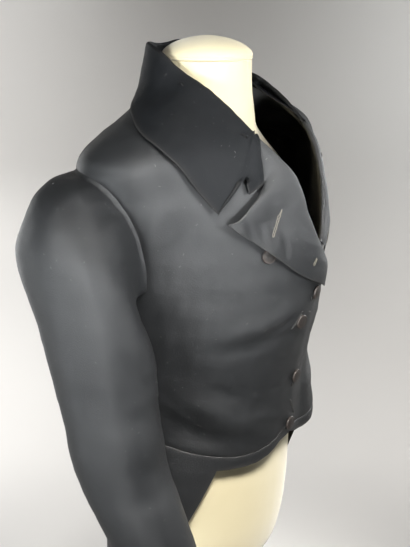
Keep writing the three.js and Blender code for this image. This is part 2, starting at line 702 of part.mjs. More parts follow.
function sleeveRings(side) {
  const stations = side === RIGHT ? rightSleeve : leftSleeve;
  const loop = armholeLoop(side);
  const firstRing = sleeveRing(side, stations[0], loop.length);
  const rings = [];
  for (let i = 0; i < sleeveHeadRows; i += 1) {
    const t = i / sleeveHeadRows;
    rings.push(loop.map((from, k) => {
      const to = firstRing[k];
      const bend = new THREE.Vector3();
      for (const axis of ['x', 'y', 'z']) bend[axis] = mix(from[axis], to[axis], sleeveHeadBend[axis]);
      return from.clone().multiplyScalar((1 - t) ** 2).addScaledVector(bend, 2 * t * (1 - t))
        .addScaledVector(to, t * t);
    }));
  }
  for (const station of stations) rings.push(sleeveRing(side, station, loop.length));
  return rings.map((ring, i) => {
    const middle = ringMiddle(ring);
    return ring.map((p, k) => {
      const round = sleeveStart + (k / ring.length) * 360;
      let height = 0;
      for (const fold of sleeveFolds) {
        const turn = THREE.MathUtils.euclideanModulo(round - fold.round + 180, 360) - 180;
        height += fold.height * Math.exp(-((turn / fold.across) ** 2) - ((i - fold.ring) / fold.along) ** 2);
      }
      const swell = i === 0 ? 0 : height;
      return p.clone().addScaledVector(p.clone().sub(middle).normalize(), swell);
    });
  });
}
function tubeNormals(rings, side) {
  const count = rings[0].length;
  return rings.map((ring, i) => ring.map((_, k) => {
    const round = ring[(k + 1) % count].clone().sub(ring[(k + count - 1) % count]);
    const below = rings[Math.min(i + 1, rings.length - 1)][k];
    const above = rings[Math.max(i - 1, 0)][k];
    return round.cross(below.clone().sub(above)).normalize().multiplyScalar(-side);
  }));
}
function sleevePiece(side, upper) {
  const rings = sleeveRings(side);
  const directions = tubeNormals(rings, side);
  const count = rings[0].length;
  const frontSeam = count - 2;
  const hindSeam = sleeveAround.front + sleeveAround.back;
  const first = upper ? frontSeam - count : hindSeam;
  const last = upper ? hindSeam : frontSeam;
  const columns = Array.from({ length: last - first + 1 }, (_, k) => first + k);
  const at = (row, k) => row[(k + count) % count];
  const grid = rings.map((ring) => columns.map((k) => {
    const p = at(ring, k).clone();
    const inner = THREE.MathUtils.clamp(k, first + 1, last - 1);
    const towards = at(ring, inner).clone().sub(p);
    return inner === k ? p : p.addScaledVector(towards.normalize(), sleeveSeamGap / 2);
  }));
  const outwards = directions.map((row) => columns.map((k) => at(row, k).clone()));
  const middles = rings.map(ringMiddle);
  const centre = (p) => middles.reduce((best, m) => (m.distanceTo(p) < best.distanceTo(p) ? m : best));
  return clothWallMesh({ grid, outwards, centre });
}

// Cloth buttons: low domed discs that lie on the front and at the hips
const buttons = table(['name', 'side', 'angle', 'z', 'out'], [
  ['button_top_right', RIGHT, 27.5, 1292, 0],
  ['button_front_1', LEFT, 3.6, 1231, 0],
  ['button_front_2', RIGHT, 5.8, 1200, 0],
  ['button_front_3', LEFT, 4.8, 1112, 0],
  ['button_front_4', LEFT, 1.8, 1046, 0.4],
  ['button_hip_right', RIGHT, 160, 1034, 0],
  ['button_hip_left', LEFT, 160, 1034, 0],
]);
// A button's half section as shares of its radius and thickness, from the middle of its back to the middle of its face
const buttonSection = table(['across', 'up'], [[0, 0], [0.86, 0], [1, 0.35], [0.93, 0.75], [0.55, 1], [0, 0.92]]);
const buttonSides = 14;
function buttonGeometry() {
  const profile = buttonSection.map((p) => new THREE.Vector2(p.across * buttonRadius, p.up * buttonThickness));
  return new THREE.LatheGeometry(profile, buttonSides);
}

// Dress form: level sections of the torso, well inside the coat
const formSections = table(['z', 'half', 'front', 'back', 'bendFront', 'bendBack'], [
  [802, 40, 34, 34, 2, 2],
  [808, 84, 68, 64, 2, 2],
  [828, 110, 90, 82, 2, 2],
  [868, 124, 101, 88, 2, 2],
  [915, 129, 106, 88, 2, 2],
  [985, 131, 108, 86, 2, 2.1],
  [1060, 124, 106, 80, 2, 2.1],
  [1120, 124, 106, 86, 2, 2.1],
  [1200, 136, 112, 96, 2, 2.2],
  [1250, 148, 112, 103, 1.9, 2.3],
  [1290, 156, 107, 106, 1.8, 2.3],
  [1330, 156, 96, 106, 1.7, 2.3],
  [1365, 138, 79, 102, 1.6, 2.3],
  [1390, 111, 63, 97, 1.5, 2.2],
  [1410, 90, 55, 91, 1.6, 2.1],
  [1428, 76, neckRadius, 84, 1.8, 2],
  [1445, 64, neckRadius, 76.3, 2, 2],
  [1462, 57, neckRadius, 70.4, 2, 2],
  [1474, 55, neckRadius, 63, 2, 2],
  [1486, neckRadius, neckRadius, 56, 2, 2],
  [1499.7, neckRadius, neckRadius, neckRadius, 2, 2],
]);
const formSides = 28;
function ringPoints(rows, z) {
  return Array.from({ length: formSides }, (_, k) => {
    const angle = (k / formSides) * 360;
    const turn = THREE.MathUtils.degToRad(angle);
    const radius = sectionRadius(rows, angle, z);
    return new THREE.Vector3(Math.sin(turn) * radius, -Math.cos(turn) * radius, z);
  });
}
// A closed solid through level rings, shut with a flat fan at the bottom and the top
function ringSolid(rings) {
  const count = rings[0].length;
  const position = rings.flat().flatMap((p) => [p.x, p.y, p.z]);
  const bottom = position.length / 3;
  position.push(0, 0, rings[0][0].z, 0, 0, rings[rings.length - 1][0].z);
  const index = [];
  for (let k = 0; k < count; k += 1) {
    const next = (k + 1) % count;
    for (let i = 0; i < rings.length - 1; i += 1) {
      const [a, b] = [i * count + k, i * count + next];
      index.push(a, b, b + count, a, b + count, a + count);
    }
    const top = (rings.length - 1) * count;
    index.push(bottom, next, k, bottom + 1, top + k, top + next);
  }
  const geometry = new THREE.BufferGeometry();
  geometry.setAttribute('position', new THREE.Float32BufferAttribute(position, 3));
  geometry.setIndex(index);
  geometry.computeVertexNormals();
  return geometry;
}
function formTorso() {
  return ringSolid(formSections.map((section) => ringPoints(formSections, section.z)));
}
function latheSolid(profile, segments) {
  const geometry = new THREE.LatheGeometry(profile.map(([x, y]) => new THREE.Vector2(x, y)), segments);
  return geometry.rotateX(Math.PI / 2);
}
// The cap: an upright rim a little wider than the neck, and a low dome over it
const capRadius = neckRadius + 0.8;
const capRim = { inset: 0.5, low: 2, high: 5 };
const domeShares = [0.25, 0.5, 0.75, 0.92];
const domeFullness = 0.8;
function capProfile() {
  const points = [[0, 0], [neckRadius - capRim.inset, 0], [capRadius, capRim.low], [capRadius, capRim.high]];
  for (const share of domeShares) {
    const turn = (share * Math.PI) / 2;
    points.push([capRadius * Math.cos(turn) ** domeFullness, mix(capRim.high, capRise, Math.sin(turn))]);
  }
  points.push([0, capRise]);
  return points;
}
const poleRadius = 17;
const poleTop = 801.7;
const poleBottom = 52.3;
const baseProfile = [[0, 0], [150, 0], [152, 3], [152, 15], [146, 20], [60, 28], [36, 40], [30, 52], [0, 52]];

// Colours and finishes
const wool = { color: 0x25282d, roughness: 0.85, metalness: 0 };
const materials = {
  cloth: new THREE.MeshStandardMaterial(wool),
  collarCloth: new THREE.MeshStandardMaterial({ ...wool, color: 0x2b2e33 }),
  button: new THREE.MeshStandardMaterial({ color: 0x5a5048, roughness: 0.8, metalness: 0 }),
  linen: new THREE.MeshStandardMaterial({ color: 0xe6e0cc, roughness: 0.95, metalness: 0 }),
  wood: new THREE.MeshStandardMaterial({ color: 0x8a6238, roughness: 0.5, metalness: 0 }),
};

const tailcoat = new THREE.Group();
function add(name, geometry, material) {
  const mesh = new THREE.Mesh(geometry, material);
  mesh.name = name;
  tailcoat.add(mesh);
  return mesh;
}

for (const [side, word] of [[RIGHT, 'right'], [LEFT, 'left']]) {
  add(`forepart_${word}`, forepart(side), materials.cloth);
  add(`back_${word}`, back(side), materials.cloth);
  add(`skirt_${word}`, skirt(side), materials.cloth);
  add(`lapel_${word}`, lapel(side), materials.cloth);
  add(`collar_fall_${word}`, collarFall(side), materials.collarCloth);
  add(`sleeve_upper_${word}`, sleevePiece(side, true), materials.cloth);
  add(`sleeve_under_${word}`, sleevePiece(side, false), materials.cloth);
}
add('collar_stand', collarStand(), materials.collarCloth);
for (const button of buttons) {
  const mesh = add(button.name, buttonGeometry(), materials.button);
  const angle = button.side * button.angle;
  mesh.position.copy(coatPoint(button.side, button.angle, button.z, layerGap + button.out));
  mesh.quaternion.setFromUnitVectors(new THREE.Vector3(0, 1, 0), coatNormal(angle, button.z));
}
add('form_torso', formTorso(), materials.linen);
add('form_neck_cap', latheSolid(capProfile(), 32), materials.linen).position.z = capSeamHeight;
const poleProfile = [[0, poleBottom], [poleRadius, poleBottom], [poleRadius, poleTop], [0, poleTop]];
add('stand_pole', latheSolid(poleProfile, 20), materials.wood);
add('stand_base', latheSolid(baseProfile, 40), materials.wood);

export default tailcoat;
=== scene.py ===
# Looks of the black wool tailcoat on its dress form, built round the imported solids.
# Tables are in millimetres, as in the part's source; meshes are in metres, in the row's frame.
import math

import bpy
import numpy as np
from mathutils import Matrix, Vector


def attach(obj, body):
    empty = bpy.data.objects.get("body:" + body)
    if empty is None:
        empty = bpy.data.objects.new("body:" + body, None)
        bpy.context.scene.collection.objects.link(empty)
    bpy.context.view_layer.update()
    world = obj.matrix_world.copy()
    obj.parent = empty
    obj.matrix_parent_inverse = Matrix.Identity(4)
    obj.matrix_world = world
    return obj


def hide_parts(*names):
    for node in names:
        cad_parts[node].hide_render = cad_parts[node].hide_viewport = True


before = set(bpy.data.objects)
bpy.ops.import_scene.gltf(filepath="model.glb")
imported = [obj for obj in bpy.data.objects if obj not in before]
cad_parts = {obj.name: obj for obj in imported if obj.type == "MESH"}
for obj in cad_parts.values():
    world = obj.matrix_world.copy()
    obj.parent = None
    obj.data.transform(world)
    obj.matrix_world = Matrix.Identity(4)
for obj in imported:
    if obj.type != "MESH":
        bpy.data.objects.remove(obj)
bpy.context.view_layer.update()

# Dress form body and neck. A padded torso, limbless and slope-shouldered, covered in plain cream linen that is
# stretched from hip to neck and seamed at the sides and the centre back. It carries the coat at the back neck.
MM = 0.001


def table(names, rows):
    """Named columns, with a row for each section, station or fold."""
    return {name: np.array(column, float) for name, column in zip(names.split(), zip(*rows))}


form_sections = table("z half front back bend_front bend_back", [
    (802, 40, 34, 34, 2, 2),
    (808, 84, 68, 64, 2, 2),
    (828, 110, 90, 82, 2, 2),
    (868, 124, 101, 88, 2, 2),
    (915, 129, 106, 88, 2, 2),
    (985, 131, 108, 86, 2, 2.1),
    (1060, 124, 106, 80, 2, 2.1),
    (1120, 124, 106, 86, 2, 2.1),
    (1200, 136, 112, 96, 2, 2.2),
    (1250, 148, 112, 103, 1.9, 2.3),
    (1290, 156, 107, 106, 1.8, 2.3),
    (1330, 156, 96, 106, 1.7, 2.3),
    (1365, 138, 79, 102, 1.6, 2.3),
    (1390, 111, 63, 97, 1.5, 2.2),
    (1410, 90, 55, 91, 1.6, 2.1),
    (1428, 76, 54, 84, 1.8, 2),
    (1445, 64, 54, 76.3, 2, 2),
    (1462, 57, 54, 70.4, 2, 2),
    (1474, 55, 54, 63, 2, 2),
    (1486, 54, 54, 56, 2, 2),
    (1499.7, 54, 54, 54, 2, 2),
])
form_seam_angles = [-92, 92, 180]
form_seam_depth = 0.7
form_seam_width = 1.6
neck_pucker = {"height": 0.45, "count": 23, "reach": 16}


def value_at(rows, z, name):
    """A smooth run through one column of a table that goes up by z."""
    zs, values = rows["z"], rows[name]
    low = np.maximum(np.arange(len(zs)) - 1, 0)
    high = np.minimum(np.arange(len(zs)) + 1, len(zs) - 1)
    slopes = (values[high] - values[low]) / (zs[high] - zs[low])
    at = np.clip(z, zs[0], zs[-1])
    k = np.clip(np.searchsorted(zs, at, side="left") - 1, 0, len(zs) - 2)
    span = zs[k + 1] - zs[k]
    t = (at - zs[k]) / span
    return ((2 * t**3 - 3 * t**2 + 1) * values[k] + (t**3 - 2 * t**2 + t) * span * slopes[k]
            + (3 * t**2 - 2 * t**3) * values[k + 1] + (t**3 - t**2) * span * slopes[k + 1])


def smooth_step(x, low, high):
    t = np.clip((x - low) / (high - low), 0, 1)
    return t * t * (3 - 2 * t)


def turn_between(angle, other):
    return (angle - other + 180) % 360 - 180


def section_radius(rows, angle, z):
    """Radius of a level section: superellipse halves, plainer at the sides, with a rounded centre ridge."""
    turn = np.radians(angle)
    in_front = np.cos(turn) > 0
    turned = np.abs(turn_between(angle, 0))
    blend = np.where(in_front, 1 - smooth_step(turned, 58, 88), smooth_step(turned, 92, 130))
    bend = 2 + (np.where(in_front, value_at(rows, z, "bend_front"), value_at(rows, z, "bend_back")) - 2) * blend
    depth = np.where(in_front, value_at(rows, z, "front"), value_at(rows, z, "back"))
    ridge = 1 - 0.55 * np.exp(-((np.sin(turn) / 0.1) ** 2))
    across = np.abs(np.sin(turn)) * ridge / value_at(rows, z, "half")
    along = np.abs(np.cos(turn)) / depth
    return (across**bend + along**bend) ** (-1 / bend)


def around_axis(turn, radius, z):
    """Points round the upright axis. turn is in radians from the front."""
    return np.stack([np.sin(turn) * radius, -np.cos(turn) * radius, z + 0 * radius], -1)


def new_object(name, data):
    made = bpy.data.objects.new(name, data)
    bpy.context.scene.collection.objects.link(made)
    return made


def mesh_piece(name, points, faces, materials, face_material=None, uv=None, marks=None):
    """A mesh object from points in millimetres and quads or triangles (a triangle repeats its last corner)."""
    points = np.asarray(points, float) * MM
    faces = np.asarray(faces, int)
    corners = np.where(faces[:, 2] == faces[:, 3], 3, 4)
    loops = faces[np.arange(4)[None, :] < corners[:, None]]
    mesh = bpy.data.meshes.new(name)
    mesh.vertices.add(len(points))
    mesh.vertices.foreach_set("co", points.ravel())
    mesh.loops.add(len(loops))
    mesh.loops.foreach_set("vertex_index", loops)
    mesh.polygons.add(len(faces))
    mesh.polygons.foreach_set("loop_start", np.concatenate([[0], np.cumsum(corners)[:-1]]))
    mesh.polygons.foreach_set("use_smooth", np.ones(len(faces), bool))
    for material in materials:
        mesh.materials.append(material)
    if face_material is not None:
        mesh.polygons.foreach_set("material_index", np.asarray(face_material, int))
    mesh.update(calc_edges=True)
    if uv is not None:
        layer = mesh.uv_layers.new(name="cloth")
        layer.data.foreach_set("uv", (np.asarray(uv, float) * MM)[loops].ravel())
    for mark, values in (marks or {}).items():
        attribute = mesh.attributes.new(mark, "FLOAT", "POINT")
        attribute.data.foreach_set("value", np.asarray(values, float))
    mesh.validate()
    return new_object(name, mesh)


def closed_rings(name, rings, materials, marks=None):
    """A solid through closed rings, each shut with a fan at its ends. rings is rows x columns x 3."""
    rows, columns = rings.shape[:2]
    k = np.arange(columns)
    n = (k + 1) % columns
    sides = [np.stack([i * columns + k, i * columns + n, (i + 1) * columns + n, (i + 1) * columns + k], 1)
             for i in range(rows - 1)]
    bottom, top = rows * columns, rows * columns + 1
    last = (rows - 1) * columns
    sides.append(np.stack([n, k, np.full(columns, bottom), np.full(columns, bottom)], 1))
    sides.append(np.stack([last + k, last + n, np.full(columns, top), np.full(columns, top)], 1))
    points = np.concatenate([rings.reshape(-1, 3), [rings[0].mean(0), rings[-1].mean(0)]])
    if marks:
        marks = {m: np.concatenate([v.ravel(), [0, 0]]) for m, v in marks.items()}
    return mesh_piece(name, points, np.concatenate(sides), materials, marks=marks)


def node_group(name, kind, inputs, outputs):
    """A shader or geometry node group with named inputs and outputs."""
    group = bpy.data.node_groups.new(name, f"{kind}NodeTree")
    for direction, sockets in (("INPUT", inputs), ("OUTPUT", outputs)):
        for label, holds, *value in sockets:
            socket = group.interface.new_socket(label, in_out=direction, socket_type=f"NodeSocket{holds}")
            if value:
                socket.default_value = value[0]
    return group, group.nodes.new("NodeGroupInput").outputs, group.nodes.new("NodeGroupOutput")


def lead(tree, value, socket):
    """Leads another socket, or a fixed value, into a socket."""
    if isinstance(value, bpy.types.NodeSocket):
        tree.links.new(value, socket)
    else:
        socket.default_value = value


def feed(tree, node, **inputs):
    """Leads sockets or fixed values into a node's inputs. An input's name has _ for each space."""
    for label, value in inputs.items():
        lead(tree, value, node.inputs[label.replace("_", " ")])
    return node


def add_node(tree, kind, **inputs):
    return feed(tree, tree.nodes.new(kind), **inputs)


def group_node(tree, group, **inputs):
    node = tree.nodes.new("ShaderNodeGroup")
    node.node_tree = group
    return feed(tree, node, **inputs).outputs


def math_node(tree, operation, *values, clamp=False):
    """A Math node fed by sockets or numbers, giving its output socket."""
    node = tree.nodes.new("ShaderNodeMath")
    node.operation, node.use_clamp = operation, clamp
    for value, socket in zip(values, node.inputs):
        lead(tree, value, socket)
    return node.outputs[0]


def mix_colour(tree, factor, first, second):
    node = tree.nodes.new("ShaderNodeMix")
    node.data_type = "RGBA"
    for value, number in ((factor, 0), (first, 6), (second, 7)):
        lead(tree, (*value, 1) if isinstance(value, tuple) else value, node.inputs[number])
    return node.outputs[2]


def noise_node(tree, vector, scale, detail=2.0, roughness=0.5):
    node = add_node(tree, "ShaderNodeTexNoise", Vector=vector, Scale=scale, Detail=detail, Roughness=roughness)
    return node.outputs["Fac"]


def bump_node(tree, height, strength, distance, **under):
    """The normal of a bump. under may hold the Normal of a bump that it lies on."""
    bump = add_node(tree, "ShaderNodeBump", Height=height, Strength=strength, Distance=distance, **under)
    return bump.outputs[0]


def mark_node(tree, name):
    node = tree.nodes.new("ShaderNodeAttribute")
    node.attribute_name = name
    return node.outputs["Fac"]


def object_place(tree):
    return tree.nodes.new("ShaderNodeTexCoord").outputs["Object"]


def split_vector(tree, vector):
    return add_node(tree, "ShaderNodeSeparateXYZ", Vector=vector).outputs


def plain_weave():
    """The height of threads that go over and under each other at a given count per metre."""
    group, given, result = node_group("plain weave", "Shader", [
        ("Vector", "Vector"), ("Threads per metre", "Float", 900.0)], [("Height", "Float")])
    along, up, _ = split_vector(group, given["Vector"])
    turns = math_node(group, "MULTIPLY", given["Threads per metre"], math.pi)
    warp, weft = (math_node(group, "SINE", math_node(group, "MULTIPLY", way, turns)) for way in (along, up))
    feed(group, result, Height=math_node(group, "ABSOLUTE", math_node(group, "MULTIPLY", warp, weft)))
    return group


def new_material(name, **fixed):
    material = bpy.data.materials.new(name)
    material.use_nodes = True
    tree = material.node_tree
    return material, tree, feed(tree, tree.nodes["Principled BSDF"], **fixed)


weave_group = plain_weave()
form_mean_radius = 0.11
linen, tree, shader = new_material("cream linen", Roughness=0.85, Sheen_Weight=0.25, Sheen_Roughness=0.5,
                                   Specular_IOR_Level=0.25)
place = object_place(tree)
side_socket, back_socket, up_socket = split_vector(tree, place)
round_form = math_node(tree, "MULTIPLY", math_node(tree, "ARCTAN2", side_socket, back_socket), form_mean_radius)
on_form = add_node(tree, "ShaderNodeCombineXYZ", X=round_form, Y=up_socket).outputs[0]
weave = group_node(tree, weave_group, Vector=on_form, Threads_per_metre=1150.0)
slubs = noise_node(tree, on_form, 900.0, 3.0)
stains = noise_node(tree, place, 9.0, 4.0)
base = mix_colour(tree, stains, (0.43, 0.375, 0.235), (0.52, 0.47, 0.32))
base = mix_colour(tree, math_node(tree, "MULTIPLY", slubs, 0.35), base, (0.42, 0.35, 0.22))
base = mix_colour(tree, math_node(tree, "MULTIPLY", mark_node(tree, "seam"), 0.35), base, (0.34, 0.27, 0.16))
normal = bump_node(tree, weave["Height"], 0.25, 0.00015)
feed(tree, shader, Base_Color=base, Normal=bump_node(tree, stains, 0.12, 0.004, Normal=normal))

form_top = form_sections["z"][-1]
beside_seam = np.array([-1.4, -0.7, -0.3, 0, 0.3, 0.7, 1.4])
form_angles = [np.arange(-180, 180, 2.5)] + [turn_between(a + beside_seam, 0) for a in form_seam_angles]
form_heights = [[802, 804, 806, 808, 811, 815, 820], np.arange(826, 1484, 7.0), np.arange(1484, form_top, 2.0),
                [form_top]]
angle_grid, z_grid = np.meshgrid(np.unique(np.round(np.concatenate(form_angles), 3)),
                                 np.unique(np.concatenate(form_heights)))
radius = section_radius(form_sections, angle_grid, z_grid)
seam_mark = sum(np.exp(-((np.radians(turn_between(angle_grid, a)) * radius / form_seam_width) ** 2))
                for a in form_seam_angles)
below_cap = np.exp(-((form_top - z_grid) / neck_pucker["reach"]))
turn = np.radians(angle_grid)
pucker = np.sin(turn * neck_pucker["count"]) * (0.6 + 0.4 * np.sin(turn * 3 + 1))
radius = radius - form_seam_depth * seam_mark + neck_pucker["height"] * pucker * below_cap
form_body = closed_rings("form_body", around_axis(turn, radius, z_grid), [linen], {"seam": seam_mark})
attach(form_body, "root")
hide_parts("form_torso")

# Neck cap. A padded disc with a low dome, covered in the same linen, with a thin piped edge that stands a little
# proud of the neck. It is slipped over the neck's top and tacked on.
cap_seam_height = 1500
cap_profile = [
    (0.01, 0.1), (40, 0.1), (53.4, 0.1), (54.6, 0.5), (55.2, 1.4), (54.9, 2.6), (54.3, 3.3), (54.6, 4.0),
    (54.9, 5.2), (54.2, 7.4), (52.2, 10.2), (48.6, 13.4), (43.4, 16.7), (36.6, 19.8), (28.6, 22.6), (19.8, 24.7),
    (10.4, 26.1), (4, 26.6), (0.01, 26.7)]


def lathe_rings(profile, sides, wobble=0.0):
    turn = np.arange(sides) * 2 * math.pi / sides
    ripple = 1 + wobble * (np.sin(3 * turn + 0.7) + 0.6 * np.sin(7 * turn))
    profile = np.asarray(profile, float)
    return around_axis(turn, profile[:, :1] * ripple, profile[:, 1:])


cap_rings = lathe_rings(cap_profile, 128, 0.0015) + [0, 0, cap_seam_height]
cap = closed_rings("form_cap", cap_rings, [linen], {"seam": np.zeros(cap_rings.shape[:2])})
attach(cap, "root")
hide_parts("form_neck_cap")

# Stand. A turned and waxed hardwood pole, set in a round weighted base of the same wood.
wood, tree, shader = new_material("waxed hardwood", Roughness=0.38, Coat_Weight=0.25, Coat_Roughness=0.25)
stretched = add_node(tree, "ShaderNodeMapping", Scale=(26, 26, 1.6), Vector=object_place(tree)).outputs[0]
grain = noise_node(tree, stretched, 3.0, 8.0, 0.62)
pores = noise_node(tree, stretched, 26.0, 3.0)
feed(tree, shader, Base_Color=mix_colour(tree, grain, (0.10, 0.042, 0.018), (0.34, 0.17, 0.075)),
     Roughness=math_node(tree, "MULTIPLY_ADD", pores, 0.2, 0.28), Normal=bump_node(tree, pores, 0.15, 0.0006))
pole_profile = [
    (0.01, 52.4), (16.2, 52.4), (17, 54), (17, 120), (16.2, 124), (16.9, 128), (16.9, 780), (16, 788), (17, 792),
    (17, 800), (16, 801.6), (0.01, 801.6)]
base_profile = [
    (0.01, 0), (148, 0), (151, 1.2), (152, 3.2), (152, 13), (150.6, 16.6), (147, 19.2), (140, 20.6), (104, 24.2),
    (64, 27.8), (52, 30.4), (44, 35), (38, 39.6), (34.5, 42.4), (33.6, 46), (31.6, 50.6), (29.4, 52), (0.01, 52)]
for name, profile, node in (("pole", pole_profile, "stand_pole"), ("base", base_profile, "stand_base")):
    turned = closed_rings(name, lathe_rings(profile, 96), [wood])
    edges = turned.modifiers.new("round", "BEVEL")
    edges.width, edges.segments, edges.limit_method = 0.0008, 2, "ANGLE"
    edges.angle_limit = math.radians(40)
    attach(turned, "root")
    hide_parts(node)

# Foreparts, right and left. Fine black wool, canvas inside, and lined, cut from the front edge to the side-back
# seam with no seam in front of the arm. The right one laps over the left one below the break of the lapels.
RIGHT, LEFT = -1, 1
both_sides = ((RIGHT, "right"), (LEFT, "left"))
cloth_wall = 1.6
waist_gap = 0.7
lap_step = 4.1
tail_hem = 545
coat_sections = table("z half front back bend_front bend_back", [
    (530, 150, 100, 124, 2.0, 2.1),
    (700, 153, 105, 123, 2.0, 2.1),
    (850, 156, 112, 121, 2.0, 2.1),
    (930, 152, 119, 112, 2.0, 2.1),
    (985, 149, 126, 102, 2.0, 2.2),
    (1050, 144, 128, 96, 2.0, 2.2),
    (1120, 148, 132, 104, 2.0, 2.3),
    (1200, 160, 150, 114, 1.85, 2.4),
    (1240, 168, 157, 118, 1.66, 2.5),
    (1275, 175, 162, 119, 1.52, 2.5),
    (1310, 182, 165, 119, 1.42, 2.4),
    (1360, 194, 158, 114, 1.36, 2.2),
    (1398, 202, 146, 106, 1.32, 2.0),
    (1412, 186, 140, 98, 1.3, 1.9),
    (1428, 156, 132, 89, 1.3, 1.75),
    (1445, 120, 121, 79, 1.3, 1.75),
    (1465, 82, 108, 72, 1.5, 1.9),
    (1480, 68, 96, 67, 1.8, 2.0),
])
# The source's folds, and after them the smaller creases that only the cloth here has
body_folds = table("angle z along across tilt height", [
    (-24, 1208, 48, 13, 10, 2.8),
    (-30, 1184, 44, 13, 8, -2.4),
    (-48, 1092, 54, 16, -24, 4.6),
    (-60, 1066, 50, 15, -22, -4.0),
    (-34, 1066, 40, 14, -16, 3.0),
    (-72, 1376, 42, 24, 30, -5.0),
    (-64, 1310, 60, 20, 68, -3.0),
    (46, 1088, 50, 16, 22, 4.0),
    (58, 1066, 46, 15, 20, -3.6),
    (72, 1374, 42, 24, -30, -4.6),
    (42, 1030, 40, 50, 0, 16),
    (28, 1345, 68, 36, 84, -6),
    (62, 1428, 46, 34, 0, -6),
    (-104, 1134, 50, 15, 6, 3.4),
    (-112, 1102, 46, 14, 4, -3.2),
    (104, 1130, 50, 15, -8, 3.4),
    (114, 1098, 46, 14, -4, -3.2),
    (-150, 1118, 44, 14, 4, 2.4),
    (152, 1104, 42, 14, -6, 2.4),
    (-128, 790, 240, 22, 84, 6.0),
    (-112, 760, 240, 20, 82, -5.0),
    (130, 780, 240, 22, -85, 6.0),
    (113, 750, 240, 20, -83, -5.0),
    (-10, 1196, 26, 5, 12, 1.3),
    (-16, 1203, 22, 4, 20, -1.0),
    (-6, 1122, 24, 5, 6, 0.9),
    (-14, 1109, 30, 5, -10, -0.8),
    (-20, 1074, 34, 6, -14, 1.1),
    (-44, 1120, 30, 7, -30, -0.9),
    (-70, 1100, 34, 7, -34, 1.2),
    (-78, 1180, 60, 9, 78, -1.0),
    (-66, 1230, 50, 8, 60, 0.8),
    (-76, 1340, 26, 6, 76, -1.2),
    (-82, 1362, 20, 5, 60, 1.0),
    (14, 1196, 22, 5, -14, 0.9),
    (40, 1132, 30, 6, 28, -0.8),
    (74, 1106, 34, 7, 30, 1.1),
    (80, 1340, 26, 6, -74, -1.1),
    (-120, 1180, 60, 8, 50, 1.0),
    (124, 1188, 60, 8, -52, 1.0),
    (-140, 1290, 50, 8, 70, -0.9),
    (142, 1286, 50, 8, -68, -0.9),
    (-166, 1080, 26, 6, 10, 0.9),
    (168, 1092, 26, 6, -12, 0.8),
    (-98, 920, 120, 9, 80, 1.6),
    (-140, 640, 150, 10, 84, -1.6),
    (98, 930, 120, 9, -80, 1.5),
    (141, 650, 150, 10, -84, -1.6),
])
mm_per_degree = 2.7
ridge_softening = 8


def fold_height(folds, angle, z, per_degree):
    """Height of a table's folds at each place: long humps, turned by tilt, that fade out along and across."""
    total = np.zeros(np.broadcast(angle, z).shape)
    for a, height_z, along, across, tilt, height in zip(*folds.values()):
        right = turn_between(angle, a) * per_degree
        up = z - height_z
        c, s = math.cos(math.radians(tilt)), math.sin(math.radians(tilt))
        far = ((right * c + up * s) / along) ** 2 + ((up * c - right * s) / across) ** 2
        total = total + np.where(far < 9, height * np.exp(-far), 0)
    return total


def bare_coat(angle, z):
    radius = sum(share * section_radius(coat_sections, angle, z + step)
                 for share, step in ((0.5, 0), (0.25, -ridge_softening), (0.25, ridge_softening)))
    return around_axis(np.radians(angle), radius + fold_height(body_folds, angle, z, mm_per_degree), z)


def unit(v):
    return v / np.maximum(np.linalg.norm(v, axis=-1, keepdims=True), 1e-9)


def coat_normal(angle, z):
    around = bare_coat(angle + 0.6, z) - bare_coat(angle - 0.6, z)
    rise = bare_coat(angle, z + 1.2) - bare_coat(angle, z - 1.2)
    return unit(np.cross(around, rise))


def coat_point(angle, z, out=0.0):
    return bare_coat(angle, z) + coat_normal(angle, z) * np.asarray(out)[..., None]


def coat_line(*stations):
    """A smooth line of side angle and height, read by its share of the length."""
    p = np.array(stations, float) * [mm_per_degree, 1]
    p = np.concatenate([p[:1], p, p[-1:]])
    t = np.linspace(0, 1, 40, endpoint=False)[:, None]
    runs = []
    for a, b, c, d in zip(p[:-3], p[1:-2], p[2:-1], p[3:]):
        v, w = (c - a) / 2, (d - b) / 2
        runs.append((2 * b - 2 * c + v + w) * t**3 + (3 * c - 3 * b - 2 * v - w) * t**2 + v * t + b)
    fine = np.concatenate(runs + [p[-1:]])
    length = np.concatenate([[0], np.cumsum(np.linalg.norm(np.diff(fine, axis=0), axis=1))])
    length /= length[-1]
    return lambda s: (np.interp(s, length, fine[:, 0]) / mm_per_degree, np.interp(s, length, fine[:, 1]))


def fill_between(first, last, start, end, u, v):
    """A grid of angle and height between two rows (read by u) and two sides (read by v)."""
    filled = []
    for k in (0, 1):
        low, high, left, right = first(u)[k], last(u)[k], start(v)[k], end(v)[k]
        along = low[None, :] * (1 - v[:, None]) + high[None, :] * v[:, None]
        over = left[:, None] * (1 - u[None, :]) + right[:, None] * u[None, :]
        corner_low = low[0] * (1 - u) + low[-1] * u
        corner_high = high[0] * (1 - u) + high[-1] * u
        filled.append(along + over - corner_low * (1 - v[:, None]) - corner_high * v[:, None])
    return filled


